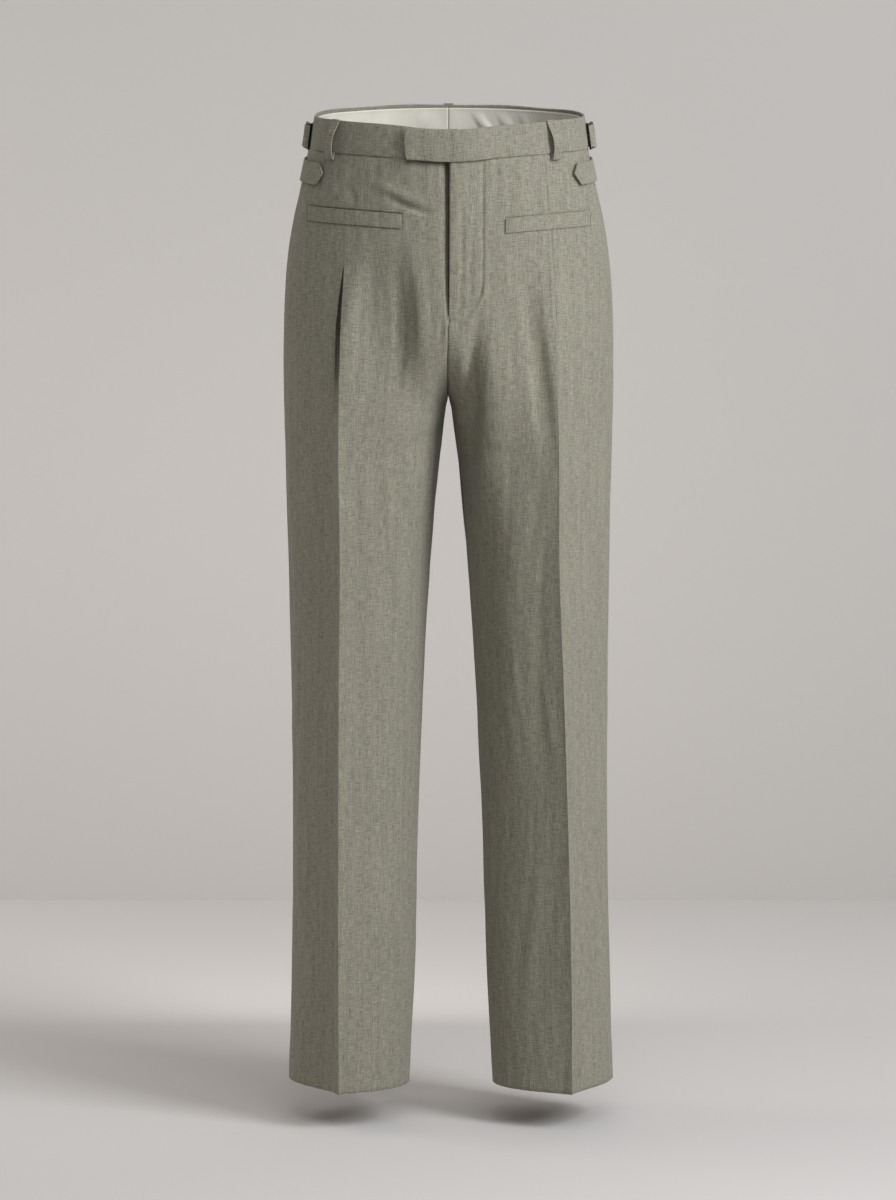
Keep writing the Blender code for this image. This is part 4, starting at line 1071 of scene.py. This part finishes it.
# ==== Side adjusters ====
# On each side a strap of doubled suiting is sewn to the band, comes up through a wire slide that
# rests on the band, goes over its middle bar and runs on to the back, where it is sewn down.
ADJUSTER_Z, STRAP_HEIGHT, STRAP_CLOTH = -0.0045, 0.0242, 0.0028
STRAP_PATH = table(
    "y out",
    (-0.0056, 0.0003), (-0.0046, 0.0026), (-0.0032, 0.0050), (-0.0012, 0.0065), (0.0012, 0.0065),
    (0.0038, 0.0051), (0.0074, 0.0026), (0.0112, 0.0009), (0.0165, 0.0004), (0.0240, 0.0004),
    (0.0320, 0.0004), (0.0400, 0.0004), (0.0480, 0.0004),
)
STRAP_RIDGE = 0.00035

for side in (LEFT, RIGHT):
    path = smooth_line(STRAP_PATH, 90)
    z = ADJUSTER_Z + STRAP_HEIGHT * np.linspace(0.5, -0.5, 19)[:, None]
    turns = turn_where(side, 1, path[:, 0], z, 1, 3)
    # Pulled tight over the bar, the cloth makes a few upright ridges.
    ridges = STRAP_RIDGE * np.sin(path[:, 0] * 2600) * bump((path[:, 0] - 0.004) / 0.014)
    points = on_waist(side, turns, z, BAND_PROUD + path[:, 1] + ridges - DRAWN_IN[side])
    name = "adjuster_strap_" + SIDE_NAME[side]
    strap = make_strip(
        name, points, strip_lengths(points, 9.7 + side), side == RIGHT, STRAP_CLOTH,
        outwards=True, rounding=0.0007)
    # The rear end is sewn down with a box of stitches.
    box = [(0.040, 0.009), (0.0465, 0.009), (0.0465, -0.009), (0.040, -0.009), (0.040, 0.009)]
    corners = [(side * FAR_OFF, y, ADJUSTER_Z + rise) for y, rise in box]
    starts, ends = stitch_line(corners, 0.0026)
    stitches(name + "_box_stitch", name, suiting_thread, strap, starts, ends, (-side, 0, 0))

# The slide is bent from 2.2 mm steel wire with its joints brazed, and nickel plated dark.
SLIDE_LENGTH, SLIDE_HEIGHT, SLIDE_WIRE, SLIDE_OUT = 0.0240, 0.0298, 0.0022, 0.0047
SLIDE_TILT = math.radians(14)

# Black nickel: a hard mirror-like plating, so its look is mostly what it reflects. Handling leaves
# it a little rougher in patches.
black_nickel, tree, shader = new_finish("black_nickel_plate")
place = add_node(tree, "ShaderNodeTexCoord").outputs["Object"]
worn = add_node(tree, "ShaderNodeTexNoise", {"Vector": place, "Scale": 350.0, "Detail": 4.0}).outputs["Fac"]
rubbed = add_node(tree, "ShaderNodeMapRange", {
    "Value": worn, "From Min": 0.3, "From Max": 0.7, "To Min": 0.18, "To Max": 0.34})
plate = add_node(tree, "ShaderNodeValToRGB", {"Fac": worn}, ("1d1c1b", "35332f"))
set_inputs(shader, {
    "Base Color": plate.outputs["Color"], "Roughness": rubbed.outputs["Result"], "Metallic": 1.0})

for side in (LEFT, RIGHT):
    wire, end, top = SLIDE_WIRE, SLIDE_LENGTH / 2, SLIDE_HEIGHT / 2
    lines = (-end, wire - end, -wire / 2, wire / 2, end - wire, end)
    levels = (-top, wire - top, top - wire, top)
    bpy.ops.object.select_all(action="DESELECT")
    bpy.ops.mesh.primitive_grid_add(x_subdivisions=5, y_subdivisions=3, size=1)
    slide = bpy.context.object
    slide.name = slide.data.name = "adjuster_slide_" + SIDE_NAME[side]
    for vertex in slide.data.vertices:
        column, row = round((vertex.co.x + 0.5) * 5), round((vertex.co.y + 0.5) * 3)
        vertex.co = (lines[column], levels[row], 0)
    # The two slots are the middle faces on either side of the bar.
    bpy.ops.object.mode_set(mode="EDIT")
    bpy.ops.mesh.select_all(action="DESELECT")
    bpy.ops.object.mode_set(mode="OBJECT")
    for opening in slide.data.polygons:
        centre = opening.center
        opening.select = abs(centre.y) < 0.001 and wire < abs(centre.x) < end - wire
    bpy.ops.object.mode_set(mode="EDIT")
    bpy.ops.mesh.select_mode(type="FACE")
    bpy.ops.mesh.delete(type="FACE")
    bpy.ops.object.mode_set(mode="OBJECT")
    # Its edges are rounded by nearly half the wire's thickness, which makes the wire round.
    add_modifier(slide, "SOLIDIFY", thickness=wire, offset=0)
    add_modifier(slide, "BEVEL", width=0.46 * wire, segments=5, angle_limit=math.radians(40))
    bpy.ops.object.shade_smooth_by_angle(angle=math.radians(40))
    # Its height follows the slope of the band, and its front bar rests on it.
    middle, above, below = (
        Vector(on_waist(side, np.array(2.0), np.array(height), out)) for height, out in (
            (ADJUSTER_Z, BAND_PROUD + SLIDE_OUT - DRAWN_IN[side]), (BAND_TOP, 0.0), (BAND_SEAM, 0.0))
    )
    up = (above - below).normalized()
    along = Vector((side * math.sin(SLIDE_TILT), math.cos(SLIDE_TILT), 0))
    deep = along.cross(up).normalized()
    turned = Matrix((along, deep.cross(along), deep)).transposed().to_4x4()
    slide.data.transform(Matrix.Translation(middle) @ turned)
    finish_piece(slide, "adjuster_buckle_" + SIDE_NAME[side], black_nickel)

# Below the band a pointed tab of doubled suiting goes round the hip and is sewn down behind.
TAB_CLOTH, TAB_BACK = 0.0022, 0.034
TAB_END = table(
    "z x back_z", (-0.0290, 0.1405, -0.0300), (-0.0396, 0.1368, -0.0415), (-0.0525, 0.1447, -0.0535),
)

for side in (LEFT, RIGHT):
    down, along = np.linspace(0, 2, 19)[:, None], np.linspace(0, 1, 80)
    end_z, end_x, back_z = (
        np.interp(down, (0, 1, 2), [getattr(row, column) for row in TAB_END])
        for column in ("z", "x", "back_z")
    )
    start = turn_where(side, 0, end_x, end_z, 0, 2)
    stop = turn_where(side, 1, TAB_BACK, back_z, 1, 3)
    z = end_z + (back_z - end_z) * np.minimum(1, 2 * along)
    # The point stands a little off the hip.
    out = TAB_CLOTH + 0.0008 + 0.0020 * (1 - blend(0, 0.25, along))
    points = on_waist(side, start + (stop - start) * along, z, out)
    name = "adjuster_tab_" + SIDE_NAME[side]
    tab = make_strip(
        name, points, strip_lengths(points, 11.9 + side), side == RIGHT, TAB_CLOTH,
        rounding=0.0004)
    corners = [(side * FAR_OFF, 0.0305, z) for z in (-0.0300, -0.0505)]
    starts, ends = stitch_line(corners, 0.0026)
    stitches(name + "_end_stitches", name, suiting_thread, tab, starts, ends, (-side, 0, 0))
